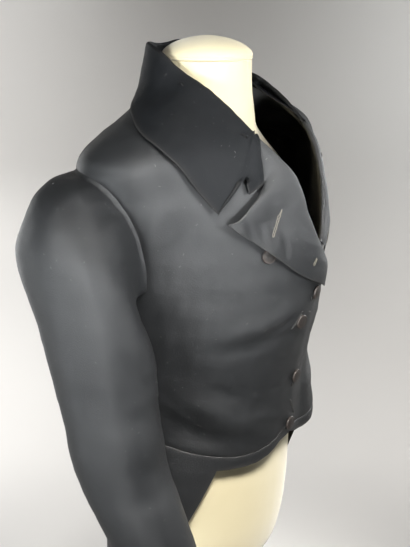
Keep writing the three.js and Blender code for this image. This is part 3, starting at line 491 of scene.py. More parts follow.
waist_seam = np.array([(-11, 1043), (-3, 1040), (6, 1036), (17, 1029), (26, 1026), (38, 1027), (49, 1032),
                       (62, 1039), (72, 1046), (90, 1052), (120, 1054), (160, 1050)], float)
strap_hem = np.array([(-11, 1032), (-3, 1029), (6, 1026), (17, 1016), (26, 1012), (38, 1012), (49, 1014)], float)
front_edge = coat_line((-11, 1043), (-12, 1090), (-15, 1140), (-19, 1200), (-22, 1233))
roll_stations = [(-22, 1233), (-15, 1250), (-8, 1270), (0.5, 1293), (2.9, 1303), (5.7, 1317), (7, 1332),
                 (8.4, 1353), (11, 1374), (14.3, 1390), (21.2, 1409), (27.6, 1427)]
neck_stations = [(38, 1438), (52, 1450), (74, 1463), (92, 1469), (118, 1471)]
roll_and_neckline = coat_line(*roll_stations, *neck_stations)
break_to_armhole = coat_line((-22, 1233), (30, 1246), (78, 1257))
armhole_front = coat_line((78, 1257), (77, 1280), (77.5, 1305), (79.2, 1335), (83.7, 1364), (88.7, 1382),
                          (96.3, 1389), (108, 1388))
underarm = coat_line((78, 1257), (86, 1243), (95, 1238), (106, 1250), (115, 1285), (121, 1325))
armhole_back = coat_line((121, 1325), (117, 1360), (108, 1388))
side_back_seam = coat_line((160, 1050), (158, 1100), (152, 1180), (141, 1250), (121, 1325))
shoulder_seam = coat_line((118, 1471), (113, 1430), (108, 1388))
waist_columns = {"j": [0, 12, 16, 22], "angle": [-11, 49, 84, 160]}
forepart_cells = {"wide": 22, "to_arm": 16, "low": 13, "high": 12}
right_edge_by_height = table("z angle", [
    (980, 11), (1043, 11), (1090, 12), (1140, 15), (1200, 19), (1233, 22), (1250, 15), (1270, 8), (1293, -0.5),
    (1303, -2.9), (1332, -7), (1390, -14.3)])
roll_radius = 2.9
roll_inset_degrees = 1.0


def finer(count, parts):
    """Grid lines from 0 to count, with close ones near both ends so that the edge stays crisp."""
    lines = np.linspace(0, count, count * parts + 1)
    step = 1 / parts
    near = np.array([0.12, 0.4]) * step
    return np.unique(np.concatenate([lines, near, count - near]))


def lap_drop(side, side_angle, z):
    if side == RIGHT:
        return np.zeros(np.broadcast(side_angle, z).shape)
    beyond = side_angle - value_at(right_edge_by_height, z, "angle")
    return -lap_step * (1 - smooth_step(beyond, 10, 22))


def layered(side, side_angle, z, out=0.0):
    return coat_point(side * side_angle, z, out + lap_drop(side, side_angle, z))


def edge_distance(outer, sides):
    """How far each grid point is along the cloth from the nearest of its grid's named sides, in millimetres."""
    nearest = np.full(outer.shape[:2], 1e6)
    for side_name in sides:
        axis = 1 if side_name in ("first", "last") else 0
        step = np.linalg.norm(np.diff(outer, axis=axis), axis=-1)
        run = np.cumsum(step, axis=axis)
        run = np.concatenate([np.zeros_like(np.take(run, [0], axis=axis)), run], axis=axis)
        if side_name in ("last", "top"):
            run = np.take(run, [-1], axis=axis) - run
        nearest = np.minimum(nearest, run)
    return nearest


def edge_closeness(outer, sides, reach):
    """1 at the named sides of a grid, fading over reach millimetres."""
    return np.exp(-((edge_distance(outer, sides) / reach) ** 2))


def press_in(outer, outward, depth):
    return outer - outward * depth[..., None]


ripple_seed = np.random.default_rng(18)
ripple_sizes = table("length height", [
    (92, 0.34), (74, 0.3), (61, 0.26), (47, 0.2), (38, 0.17), (31, 0.14), (26, 0.12), (22, 0.1), (18, 0.08),
    (15, 0.06), (12.5, 0.05), (10.5, 0.04)])
ripple_waves = [(unit(ripple_seed.normal(size=3)) * 2 * math.pi / length, ripple_seed.uniform(0, 6.28), height)
                for length, height in zip(*ripple_sizes.values())]


def soft_ripple(points):
    """The slight unevenness of worn cloth, in millimetres along its normal."""
    return sum(height * np.sin(points @ wave + start) for wave, start, height in ripple_waves)


cloth_surfaces = {}
rim_parts = 4


def cloth_shell(name, outer, outward, materials, wall=cloth_wall, keep=None, wear=None):
    """A closed, round-edged cloth wall from a grid of outer points. Its inner face is the second material."""
    rows, columns = outer.shape[:2]
    outer = outer + unit(outward) * soft_ripple(outer)[..., None]
    ids = np.arange(rows * columns).reshape(rows, columns)
    keep = np.ones((rows - 1, columns - 1), bool) if keep is None else keep
    i, j = np.nonzero(keep)
    quads = np.stack([ids[i, j], ids[i, j + 1], ids[i + 1, j + 1], ids[i + 1, j]], 1)
    points, normals = outer.reshape(-1, 3), unit(outward.reshape(-1, 3))
    a, b, c = (points[quads[:, k]] for k in (0, 1, 2))
    if (np.cross(b - a, c - a) * normals[quads[:, 0]]).sum() < 0:
        quads = quads[:, ::-1]
    cloth_surfaces[name] = (points, normals, quads)
    starts = quads.ravel()
    ends = np.roll(quads, -1, axis=1).ravel()
    free = ~np.isin(starts * len(points) + ends, ends * len(points) + starts)
    starts, ends = starts[free], ends[free]
    away = np.zeros_like(points)
    push = np.cross(points[ends] - points[starts], normals[starts])
    np.add.at(away, starts, push)
    np.add.at(away, ends, push)
    away = unit(away)
    rim = np.unique(starts)
    used = np.unique(quads)
    number = np.full(len(points), -1)
    number[used] = np.arange(len(used))
    layers = [number]
    middle = points - normals * wall / 2
    stacked = [points[used]]
    total = len(used)
    for part in range(1, rim_parts):
        turn = math.pi * part / rim_parts
        ring = middle[rim] + (normals[rim] * math.cos(turn) + away[rim] * math.sin(turn)) * wall / 2
        layer = np.full(len(points), -1)
        layer[rim] = total + np.arange(len(rim))
        total += len(rim)
        stacked.append(ring)
        layers.append(layer)
    inner = np.full(len(points), -1)
    inner[used] = total + np.arange(len(used))
    stacked.append(points[used] - normals[used] * wall)
    layers.append(inner)
    faces = [number[quads], inner[quads[:, ::-1]]]
    for upper, lower in zip(layers[:-1], layers[1:]):
        faces.append(np.stack([upper[ends], upper[starts], lower[starts], lower[ends]], 1))
    face_material = np.zeros(sum(map(len, faces)), int)
    face_material[len(quads):2 * len(quads)] = 1
    along = np.zeros((rows, columns))
    along[:, 1:] = np.cumsum(np.linalg.norm(np.diff(outer, axis=1), axis=-1), axis=1)
    along -= along[:, columns // 2][:, None]
    up = np.zeros((rows, columns))
    up[1:] = np.cumsum(np.linalg.norm(np.diff(outer, axis=0), axis=-1), axis=0)
    flat = np.stack([along.ravel(), up.ravel()], 1)
    wear = np.zeros(len(points)) if wear is None else wear.ravel()
    order = np.concatenate([used] + [rim] * (rim_parts - 1) + [used])
    layer_wear = np.concatenate([wear[used]] + [np.ones(len(rim))] * (rim_parts - 1) + [wear[used]])
    shell = mesh_piece(name, np.concatenate(stacked), np.concatenate(faces), materials, face_material,
                       flat[order], {"wear": layer_wear})
    shell.modifiers.new("even normals", "WEIGHTED_NORMAL").keep_sharp = True
    return shell


def wool_nap():
    """Fulled wool: a fine felted nap that lies downwards, with a faint twill under it."""
    group, given, result = node_group("wool nap", "Shader", [("Vector", "Vector")],
                                      [("Height", "Float"), ("Tone", "Float")])
    place = given["Vector"]
    combed = add_node(group, "ShaderNodeMapping", Scale=(1, 0.35, 1), Vector=place).outputs[0]
    fibres = noise_node(group, combed, 2600.0, 4.0, 0.65)
    felt = noise_node(group, place, 430.0, 4.0, 0.7)
    clouds = noise_node(group, place, 26.0, 5.0, 0.55)
    along, up, _ = split_vector(group, place)
    diagonal = math_node(group, "ADD", along, math_node(group, "MULTIPLY", up, 1.4))
    twill = math_node(group, "SINE", math_node(group, "MULTIPLY", diagonal, 5200.0))
    height = math_node(group, "MULTIPLY_ADD", fibres, 0.6, math_node(group, "MULTIPLY", felt, 0.8))
    tone = math_node(group, "MULTIPLY_ADD", clouds, 0.5, math_node(group, "MULTIPLY", felt, 0.5))
    feed(group, result, Height=math_node(group, "MULTIPLY_ADD", twill, 0.07, height), Tone=tone)
    return group


def lint_and_dust():
    """Pale specks of lint and a thin film of dust, as two masks."""
    group, given, result = node_group("lint and dust", "Shader", [
        ("Vector", "Vector"), ("Speck size", "Float", 0.05)], [("Specks", "Float"), ("Dust", "Float")])
    place = given["Vector"]
    drift = add_node(group, "ShaderNodeTexNoise", Scale=260.0, Vector=place).outputs["Color"]
    wobble = group.nodes.new("ShaderNodeVectorMath")
    wobble.operation = "MULTIPLY_ADD"
    for value, socket in zip((drift, (0.004, 0.012, 0.004), place), wobble.inputs):
        lead(group, value, socket)
    cells = add_node(group, "ShaderNodeTexVoronoi", Scale=150.0, Vector=wobble.outputs[0]).outputs
    chosen = add_node(group, "ShaderNodeSeparateColor", Color=cells["Color"]).outputs[0]
    near = math_node(group, "LESS_THAN", cells["Distance"], given["Speck size"])
    some = math_node(group, "GREATER_THAN", chosen, 0.62)
    dusty = math_node(group, "MULTIPLY_ADD", noise_node(group, place, 14.0, 3.0), 2.6, -0.95, clamp=True)
    specks = math_node(group, "MULTIPLY", math_node(group, "MULTIPLY", near, some), dusty)
    film = noise_node(group, place, 45.0, 6.0, 0.7)
    feed(group, result, Specks=specks, Dust=math_node(group, "MULTIPLY_ADD", film, 1.6, -0.55, clamp=True))
    return group


def cloth_place(tree):
    """Place on the cloth laid flat, in metres."""
    flat = tree.nodes.new("ShaderNodeUVMap")
    flat.uv_map = "cloth"
    return flat.outputs[0]


nap_group = wool_nap()
lint_group = lint_and_dust()
wool_black = (0.003, 0.0034, 0.004)
wool_raised = tuple(c * 1.7 + 0.003 for c in wool_black)
wool_dust = (0.09, 0.092, 0.094)
wool_specks = (0.42, 0.42, 0.40)


def wool_cloth(name, worn, dust_share, gloss):
    """Black wool with worn edges, dust and lint. worn is its colour at the edges, gloss the shine of its nap."""
    material, tree, shader = new_material(name, Specular_IOR_Level=gloss)
    nap = group_node(tree, nap_group, Vector=cloth_place(tree))
    lint = group_node(tree, lint_group, Vector=object_place(tree), Speck_size=0.045)
    colour = mix_colour(tree, nap["Tone"], wool_black, wool_raised)
    colour = mix_colour(tree, math_node(tree, "MULTIPLY", lint["Dust"], dust_share), colour, wool_dust)
    rubbed = math_node(tree, "MULTIPLY", mark_node(tree, "wear"), nap["Tone"])
    colour = mix_colour(tree, math_node(tree, "MULTIPLY", rubbed, 0.7, clamp=True), colour, worn)
    colour = mix_colour(tree, math_node(tree, "MULTIPLY", lint["Specks"], 0.8), colour, wool_specks)
    feed(tree, shader, Base_Color=colour, Roughness=math_node(tree, "MULTIPLY_ADD", nap["Tone"], 0.3, 0.38),
         Normal=bump_node(tree, nap["Height"], 0.6, 0.0009))
    return material


coat_wool = wool_cloth("black wool", (0.034, 0.032, 0.03), 0.03, 0.5)
lining, tree, shader = new_material("black cotton lining", Roughness=0.6, Sheen_Weight=0.2,
                                    Specular_IOR_Level=0.4)
lining_weave = group_node(tree, weave_group, Vector=cloth_place(tree), Threads_per_metre=1700.0)
rumple = noise_node(tree, object_place(tree), 40.0, 4.0)
normal = bump_node(tree, lining_weave["Height"], 0.3, 0.0001)
feed(tree, shader, Base_Color=mix_colour(tree, rumple, (0.010, 0.010, 0.011), (0.022, 0.021, 0.021)),
     Normal=bump_node(tree, rumple, 0.35, 0.004, Normal=normal))


def height_on(line, angle):
    return np.interp(angle, line[:, 0], line[:, 1])


def forepart_grid():
    """Angle, height and the kept cells: whole below the armhole and narrower beside it."""
    wide, to_arm, low_count, high_count = (forepart_cells[k] for k in forepart_cells)
    columns, low_rows, high_rows = (finer(count, 5) for count in (wide, low_count, high_count))
    columns = np.unique(np.append(columns, to_arm))
    arm = int(np.searchsorted(columns, to_arm))

    def waist(u):
        angle = np.interp(u * wide, waist_columns["j"], waist_columns["angle"])
        return angle, height_on(waist_seam, angle) + waist_gap / 2

    def top(u):
        j = u * wide
        beside = break_to_armhole(np.minimum(j, to_arm) / to_arm)
        below = underarm((np.maximum(j, to_arm) - to_arm) / (wide - to_arm))
        return tuple(np.where(j <= to_arm, beside[k], below[k]) for k in (0, 1))

    def roll_edge(v):
        angle, z = roll_and_neckline(v)
        inset = roll_inset_degrees * smooth_step(z, 1233, 1250) * (1 - smooth_step(z, 1424, 1434))
        return angle + inset, z

    low = fill_between(waist, top, front_edge, side_back_seam, columns / wide, low_rows / low_count)
    high = fill_between(break_to_armhole, shoulder_seam, roll_edge, armhole_front, columns[:arm + 1] / to_arm,
                        high_rows / high_count)
    beside = [np.concatenate([h[1:], np.repeat(h[1:, -1:], len(columns) - arm - 1, 1)], 1) for h in high]
    angle, z = (np.concatenate([a, b]) for a, b in zip(low, beside))
    keep = np.ones((len(angle) - 1, len(columns) - 1), bool)
    keep[len(low_rows) - 1:, arm:] = False
    return angle, z, keep, len(low_rows), arm


seam_dip = {"depth": 1.1, "reach": 2.8, "narrow_reach": 2.2, "worn": 0.5}
for side, word in both_sides:
    angle, z, keep, low_count, arm = forepart_grid()
    outer = layered(side, angle, z)
    outward = coat_normal(side * angle, z)
    seam = np.zeros(angle.shape)
    below, under_arm, beside_arm = np.s_[:low_count], np.s_[:low_count, arm:], np.s_[low_count - 1:, :arm + 1]
    for part, sewn in ((below, ["bottom", "last"]), (under_arm, ["top"]), (beside_arm, ["top", "last"])):
        seam[part] = np.maximum(seam[part], edge_closeness(outer[part], sewn, seam_dip["reach"]))
    outer = press_in(outer, outward, seam_dip["depth"] * seam)
    wear = np.maximum(edge_closeness(outer, ["first"], 5), seam * seam_dip["worn"])
    forepart = cloth_shell(f"forepart_cloth_{word}", outer, outward, [coat_wool, lining], keep=keep, wear=wear)
    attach(forepart, "root")
    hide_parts(f"forepart_{word}")

# Backs, right and left. The same wool, seamed at the centre back down to the waist, where the vent starts, with
# curved side-back seams. The narrow back part of each tail is cut in one with them.
tail_ease = 1.5
pleat_edge = table("z angle", [(tail_hem, 150), (800, 154), (980, 159), (1050, 160)])
vent_edge = table("z angle", [(tail_hem, 178.2), (900, 179.2), (1010, 179.85), (1474, 179.85)])


def back_grid():
    across = finer(5, 8) / 5
    rows = []
    for t in finer(10, 6)[:-1] / 10:
        z = tail_hem + (1050 - tail_hem) * (1 - (1 - t) ** tail_ease)
        rows.append((value_at(pleat_edge, z, "angle"), z, z))
    for t in finer(13, 5) / 13:
        a, z = side_back_seam(t)
        rows.append((a + 0.08, z, 1050 + 295 * t))
    for t in finer(3, 6)[1:] / 3:
        a, z = armhole_back(t)
        rows.append((a, z, 1345 + 60 * t))
    for t in finer(4, 6)[1:] / 4:
        a, z = shoulder_seam(1 - t)
        rows.append((a + 0.08, z, 1405 + 69 * t))
    edge_angle, edge_z, centre_z = (np.array(column, float)[:, None] for column in zip(*rows))
    vent_angle = value_at(vent_edge, centre_z, "angle")
    return edge_angle + (vent_angle - edge_angle) * across, edge_z + (centre_z - edge_z) * across


for side, word in both_sides:
    angle, z = back_grid()
    outer = coat_point(side * angle, z)
    outward = coat_normal(side * angle, z)
    waist_up = smooth_step(z, 1035, 1060)
    centre, side_back = (edge_closeness(outer, [edge], seam_dip["narrow_reach"]) for edge in ("last", "first"))
    seam = np.maximum(centre, side_back * waist_up)
    outer = press_in(outer, outward, seam_dip["depth"] * seam * waist_up)
    back = cloth_shell(f"back_cloth_{word}", outer, outward, [coat_wool, lining],
                       wear=np.maximum(seam * seam_dip["worn"], edge_closeness(outer, ["bottom"], 4)))
    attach(back, "root")
    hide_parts(f"back_{word}")

# Skirts, right and left. Each is cut in one with the strap that runs forward under the forepart to the front
# edge, joined at the waist seam. The back edge is pressed under the back part as the side pleat.
tuck_depth = 3.2
skirt_front_edge = table("z angle", [(tail_hem, 117), (660, 107), (770, 94), (870, 78), (945, 63), (1014, 49)])


def skirt_grid():
    columns = np.unique(np.concatenate([finer(22, 5), [21.88, 21.94], 22 + np.linspace(0, 2, 7)[1:]]))
    rows = np.unique(np.concatenate([np.linspace(0, 1, 7), [0.04, 0.96], 1 + finer(11, 5)]))
    i, j = np.meshgrid(rows, columns, indexing="ij")
    at = np.minimum(j, 22)
    waist_angle = np.interp(at, waist_columns["j"], waist_columns["angle"])
    seam_z = height_on(waist_seam, waist_angle) - waist_gap / 2
    share = np.clip((at - 12) / 10, 0, 1)
    down = (np.maximum(i - 1, 0) / 11) ** tail_ease
    tail_z = (1014 + 20 * share) * (1 - down) + tail_hem * down
    rear = value_at(pleat_edge, tail_z, "angle") - 0.15
    front = value_at(skirt_front_edge, tail_z, "angle")
    tail_angle = front + (rear - front) * share
    strap = at <= 12
    low_z = np.where(strap, height_on(strap_hem, waist_angle), tail_z)
    low_angle = np.where(strap, waist_angle, tail_angle)
    t = np.minimum(i, 1)
    angle = np.where(i <= 1, waist_angle + (low_angle - waist_angle) * t, tail_angle)
    z = np.where(i <= 1, seam_z + (low_z - seam_z) * t, tail_z)
    angle = angle + np.maximum(j - 22, 0) * 4.5
    out = -tuck_depth * smooth_step(j, 21.86, 22)
    cell_row, cell_column = np.meshgrid(rows[:-1], columns[:-1], indexing="ij")
    keep = (cell_row < 1 - 1e-6) | (cell_column > 12 - 1e-6)
    return angle, z, out, keep


for side, word in both_sides:
    angle, z, out, keep = skirt_grid()
    outer = layered(side, angle, z, out)
    outward = coat_normal(side * angle, z)
    seam = edge_closeness(outer, ["bottom"], seam_dip["narrow_reach"])
    outer = press_in(outer, outward, 0.6 * seam)
    strap_edge = np.exp(-((outer[..., 2] - outer[8][None, :, 2]) / 3.5) ** 2) * (np.abs(angle) < 49)
    wear = np.maximum.reduce([edge_closeness(outer, ["top", "first"], 4), strap_edge, seam * 0.5])
    skirt = cloth_shell(f"skirt_cloth_{word}", outer, outward, [coat_wool, lining], keep=keep, wear=wear)
    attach(skirt, "root")
    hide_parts(f"skirt_{word}")

# Lapels, right and left. The turned-back top of each forepart, faced with the same wool. It rolls over the edge
# of the forepart, lies over the top button on the right side, and has a long point below a hollow top edge.
lapel_wall = 1.2
lapel_mm_per_degree = 2.4
lapel_stations = table("roll_angle roll_z edge_angle edge_z", [
    (27.3, 1426.6, 28.4, 1402),
    (24.15, 1417, 28.9, 1376),
    (17.05, 1397.5, 30.8, 1368.6),
    (12.4, 1381, 34.4, 1359),
    (10, 1367, 39.2, 1346),
    (8.5, 1354, 42.5, 1339),
    (7.5, 1340, 46.3, 1336.5),
    (5.6, 1322, 41.2, 1325),
    (3.6, 1308, 36.6, 1316.5),
    (0.1, 1294, 30.6, 1305.5),
    (-4.35, 1280, 22.3, 1289),
    (-9.95, 1264.5, 11.4, 1266),
    (-17.2, 1246, -4, 1243.5),
    (-20.5, 1238, -15.5, 1229),
])
lapel_point_station = 6
left_lapel_end = table("roll_angle roll_z edge_angle edge_z", [
    (2.9, 1304, 30.6, 1305.5),
    (2.2, 1301, 22.3, 1289),
    (1.4, 1298, 13, 1270),
])
layer_lift = 2.6
lapel_lift = {"edge": 4, "edge_reach": 34, "point": 5, "point_reach": 40, "top": 4.5, "top_reach": 24}
lapel_over_button = {"angle": 27.5, "z": 1296, "height": 4.6, "reach": 18}
stitch_groove = {"from_edge": 4.2, "width": 0.8, "depth": 0.3}
lapel_ripples = table("angle z along across tilt height", [
    (40, 1331, 15, 3.2, 66, 1.0),
    (37, 1327, 15, 3.2, 70, -0.8),
    (34, 1324, 16, 3.2, 74, 1.0),
    (31, 1319, 16, 3.4, 76, -0.8),
    (28, 1316, 15, 3.2, 78, 0.9),
    (24, 1311, 14, 3.4, 82, 0.9),
    (21, 1304, 14, 3.4, 86, -0.8),
    (18, 1301, 14, 3.6, 88, 0.8),
    (16, 1318, 20, 6, 75, 0.9),
    (11, 1322, 14, 4, 40, -0.9),
    (9, 1304, 15, 4, 30, 1.0),
    (2, 1280, 22, 6, 40, 1.0),
])


def smooth_between(values, low, high, t):
    """A smooth run through values[low..high], along their first axis, at positions t."""
    k = np.clip(np.floor(t).astype(int), low, high - 1)
    s = (t - k).reshape((-1,) + (1,) * (values.ndim - 1))
    a, b, c, d = (values[np.clip(k + n, low, high)] for n in (-1, 0, 1, 2))
    return 0.5 * (2 * b + (c - a) * s + (2 * a - 5 * b + 4 * c - d) * s**2 + (3 * b - a - 3 * c + d) * s**3)


def lapel_lines(side):
    """The roll line and the free edge by station number, with a corner at the point."""
    stations = dict(lapel_stations)
    if side == LEFT:
        stations = {k: np.append(v[:9], left_lapel_end[k]) for k, v in stations.items()}
    last = len(stations["roll_z"]) - 1
    point = lapel_point_station
    run = np.unique(np.concatenate([finer(last, 9), [point - 0.03, point + 0.03]]))
    lines = {}
    for name, values in stations.items():
        upper = smooth_between(values, 0, point, np.minimum(run, point))
        lower = smooth_between(values, point, last, np.maximum(run, point))
        lines[name] = np.where(run <= point, upper, lower)
    return run, lines


def grid_normals(grid, outward_hint):
    """Directions square to a grid's surface, on the side that the hint points to."""
    normals = unit(np.cross(np.gradient(grid, axis=0), np.gradient(grid, axis=1)))
    return normals * np.sign((normals * outward_hint).sum(-1).mean())


def flap_columns():
    """Shares across a flap, close together at the roll and at the edge."""
    at_roll, at_edge = [0, 0.006, 0.015, 0.028, 0.045, 0.065, 0.09, 0.12, 0.155], [0.965, 0.982, 0.993, 1]
    return np.concatenate([at_roll, np.arange(0.19, 0.96, 0.033), at_edge])


def rolled_flap(top, normal, facing):
    """Rounds the first column of a flap into a roll, with its under side and a short facing behind it."""
    line = top[:, 0]
    fine = np.concatenate([line[:-1] * (1 - t) + line[1:] * t for t in (0, 1 / 3, 2 / 3)] + [line[-1:]])
    near = np.sqrt(((top[:, :, None] - fine[None, None]) ** 2).sum(-1).min(-1))
    near = np.minimum(near, roll_radius)
    top = top - normal * (roll_radius - np.sqrt(roll_radius**2 - (roll_radius - near) ** 2))[..., None]
    up = normal[:, 0]
    inward = unit(np.cross(up, np.gradient(line, axis=0)))
    inward = inward * np.sign((inward * (top[:, -1] - top[:, 0])).sum())
    centre = top[:, 0] + inward * roll_radius
    back = [centre - up * roll_radius + inward * facing * share
            for share in np.linspace(1, 0, 6, endpoint=False)]
    back += [centre + (up * math.cos(turn) - inward * math.sin(turn)) * roll_radius
             for turn in np.linspace(math.pi, math.pi / 2, 7, endpoint=False)]
    outer = np.concatenate([np.stack(back, 1), top], 1)
    hint = np.zeros_like(outer)
    hint[:, len(back) + 8:] = normal[:, 8:]
    return outer, grid_normals(outer, hint), len(back)


def stitched_edge(outer, outward):
    """Presses the line of edge stitches into the cloth, and gives the wear along that edge."""
    distance = edge_distance(outer, ["last"])
    groove = np.exp(-(((distance - stitch_groove["from_edge"]) / stitch_groove["width"]) ** 2))
    thin = 0.45 * np.exp(-((distance / 1.6) ** 2))
    moved = press_in(outer, outward, stitch_groove["depth"] * groove + thin)
    return moved, np.exp(-((distance / 2.0) ** 2)) + 0.25 * groove


def flap_shell(name, top, normal, facing, sewn, rubbed, cloth):
    """A flap with its roll, its stitched edge and its wall. sewn is the side that meets its neighbour."""
    outer, outward, rolled = rolled_flap(top, normal, facing)
    outer, wear = stitched_edge(outer, outward)
    outer = press_in(outer, outward, 0.9 * edge_closeness(outer, [sewn], seam_dip["narrow_reach"]))
    roll_wear = rubbed * edge_closeness(outer[:, rolled:], ["first"], 5)
    wear[:, rolled:] = np.maximum(wear[:, rolled:], roll_wear)
    return cloth_shell(name, outer, outward, [cloth, cloth], wall=lapel_wall, wear=np.minimum(wear, 1))


def from_line(angle, z, line_angle, line_z):
    """How far each grid point is over the chest from each point of a line, in millimetres."""
    sideways = (angle[:, :, None] - line_angle.ravel()) * lapel_mm_per_degree
    return np.hypot(sideways, z[:, :, None] - line_z.ravel())


for side, word in both_sides:
    run, lines = lapel_lines(side)
    across = flap_columns()
    roll_a, roll_z, edge_a, edge_z = (lines[k][:, None] for k in lapel_stations)
    angle = roll_a + (edge_a - roll_a) * across
    z = roll_z + (edge_z - roll_z) * across
    from_roll = from_line(angle, z, roll_a, roll_z).min(-1)
    bow = (5 if side == RIGHT else 3) * (1 - np.exp(-from_roll / 10)) * np.exp(-from_roll / 30)
    height = layer_lift + bow * smooth_step(run, 0.3, 3)[:, None]
    if side == RIGHT:
        over_button = (((angle - lapel_over_button["angle"]) * mm_per_degree) ** 2
                       + (z - lapel_over_button["z"]) ** 2)
        height = height + lapel_over_button["height"] * np.exp(-over_button / lapel_over_button["reach"] ** 2)
        free = ((1 - smooth_step(run, 10.2, 12.8)) * smooth_step(run, 1.2, 3.5))[:, None]
        point_a, point_z = (lapel_stations[name][lapel_point_station] for name in ("edge_angle", "edge_z"))
        from_point = ((angle - point_a) * lapel_mm_per_degree) ** 2 + (z - point_z) ** 2
        beside = from_line(angle, z, edge_a, edge_z)
        near_edge = np.exp(-((beside.min(-1) / lapel_lift["edge_reach"]) ** 2))
        beside_top = np.exp(-((beside[:, :, (run > 1.5) & (run < 6)].min(-1) / lapel_lift["top_reach"]) ** 2))
        height = height + (lapel_lift["edge"] * near_edge + lapel_lift["top"] * beside_top
                           + lapel_lift["point"] * np.exp(-from_point / lapel_lift["point_reach"] ** 2)) * free
    else:
        height = height + 0.5
    height = height + fold_height(lapel_ripples, angle, z, lapel_mm_per_degree)
    top = layered(side, angle, z, height)
    lapel = flap_shell(f"lapel_cloth_{word}", top, coat_normal(side * angle, z), 14, "bottom", 0.55, coat_wool)
    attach(lapel, "root")
    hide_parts(f"lapel_{word}")

# Collar. A stand that rises from the neckline, and two falls seamed at the centre back, which roll over the stand
# and lie on the shoulders. Each end of the fall has a small tab and a deep notch above the lapel.
collar_stations = table("roll_x roll_y roll_z neck_angle neck_z edge_angle edge_z lying", [
    (0, 72, 1516, 180, 1474, 180, 1444, 0),
    (32, 66, 1518, 156, 1473, 158, 1447, 0),
    (56, 46, 1519, 134, 1472, 134, 1451, 0),
    (67, 18, 1510, 112, 1470.5, 112, 1450, 0),
    (65, -5, 1495, 92, 1469, 96, 1443, 0),
    (59, -30, 1479, 74, 1463, 86, 1434, 0.1),
    (57, -44, 1470, 62, 1457, 79, 1426, 0.2),
    (58, -60, 1461, 52, 1450, 73, 1417, 0.35),
    (59, -76, 1452, 44, 1443.5, 66, 1400, 0.5),
    (59, -88, 1443, 38, 1438, 60, 1379, 0.7),
    (57.5, -101, 1432.5, 31, 1430.5, 49.8, 1347, 0.9),
    (57, -103.5, 1430, 29.8, 1429, 37.6, 1384, 1),
    (56.5, -105.5, 1428.5, 28.8, 1428, 36.3, 1366, 1),
    (56.4, -106.8, 1427.4, 28.2, 1427.4, 29.2, 1375.5, 1),
])
fall_lift = 3.6
fall_bow = {"right": 8, "left": 3.2}
fall_rise = {"right": 5, "left": 2}
fall_edge_lift = {"right": 4.5, "left": 0}
stand_wall = 1.0
coat_top = 1479
# The collar's cloth is the coat's wool with far less shine (0.1 against 0.5), so it reads darker than the lapels.
# This is painted shade, for the light that falls on the lapels and not on the collar.
collar_wool_dulled_as_shade = wool_cloth("black collar wool", (0.03, 0.028, 0.026), 0.04, 0.1)


def collar_lines(run):
    lines = {}
    for name, values in collar_stations.items():
        before = -values[1] if name == "roll_x" else values[0]
        padded = np.concatenate([[before], values])
        body = smooth_between(padded, 0, 11, np.minimum(run, 10) + 1)
        k = np.clip(np.floor(run).astype(int), 10, 12)
        end = values[k] + (values[k + 1] - values[k]) * (run - k)
        lines[name] = np.where(run <= 10, body, end)
    return lines


def collar_roll(side, lines):
    """The roll line of the collar. Its left half has sunk a little beside the neck."""
    drop = 7 * smooth_step(-lines["roll_y"], -60, 0) * (1 - lines["lying"]) if side == LEFT else 0
    return np.stack([side * lines["roll_x"], lines["roll_y"], lines["roll_z"] - drop], -1)


def lift_off_coat(points, lift):
    """Moves points out until they lie clear of the coat's outer surface by lift millimetres."""
    points = points.copy()
    for _ in range(5):
        angle = np.degrees(np.arctan2(points[..., 0], -points[..., 1]))
        z = np.minimum(points[..., 2], coat_top)
        normal = coat_normal(angle, z)
        depth = ((points - bare_coat(angle, z)) * normal).sum(-1)
        short = np.maximum(lift - depth, 0) * (1 - smooth_step(points[..., 2], 1456, 1486))
        points = points + normal * short[..., None]
    return points


for side, word in both_sides:
    run = np.unique(np.concatenate([np.linspace(0, 10, 101), 10 + finer(3, 10), [0.02]]))
    lines = collar_lines(run)
    across = flap_columns()
    roll = collar_roll(side, lines)[:, None]
    away = unit(roll * [1, 1, 0])
    edge_angle, edge_z = lines["edge_angle"][:, None], lines["edge_z"][:, None]
    edge = coat_point(side * edge_angle, edge_z, fall_lift + 1.2)
    bow = roll + away * fall_bow[word]
    bow[..., 2] = (roll[..., 2] + edge[..., 2]) / 2
    t = across[None, :, None]
    free = roll * (1 - t) ** 2 + bow * 2 * t * (1 - t) + edge * t**2
    roll_angle = np.degrees(np.arctan2(lines["roll_x"], -lines["roll_y"]))[:, None]
    angle = roll_angle + (edge_angle - roll_angle) * across
    z = roll[..., 2] + (edge_z - roll[..., 2]) * across
    width = np.linalg.norm(roll - edge, axis=-1)
    rise = np.minimum(fall_rise[word], width * 0.2)
    height = layer_lift + rise * np.sin(math.pi * np.minimum(1, across / 0.5)) * (1 - across) + 0.6 * across
    flat = layered(side, angle, np.minimum(z, coat_top), height)
    lying = lines["lying"][:, None, None]
    fall = lift_off_coat(free * (1 - lying) + flat * lying, fall_lift + 1.2 * across - 0.9 * lying[..., 0])
    for _ in range(30):
        evened = (fall[1:-1, 2:] + fall[1:-1, :-2] + fall[2:, 1:-1] + fall[:-2, 1:-1]) / 4
        fall[1:-1, 1:-1] += 0.5 * (evened - fall[1:-1, 1:-1])
    fall[0, :, 0] = side * 0.25
    normal = grid_normals(fall, fall * [1, 1, 0])
    front_end = smooth_step(run, 10, 11.5)[:, None]
    edge_lift = fall_edge_lift[word] * across**2 * smooth_step(run, 5, 9.5)[:, None] * (1 - 0.2 * front_end)
    fall = fall + normal * edge_lift[..., None]
    collar = flap_shell(f"collar_fall_cloth_{word}", fall, normal, 12, "top", 0.5, collar_wool_dulled_as_shade)
    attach(collar, "root")
    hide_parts(f"collar_fall_{word}")

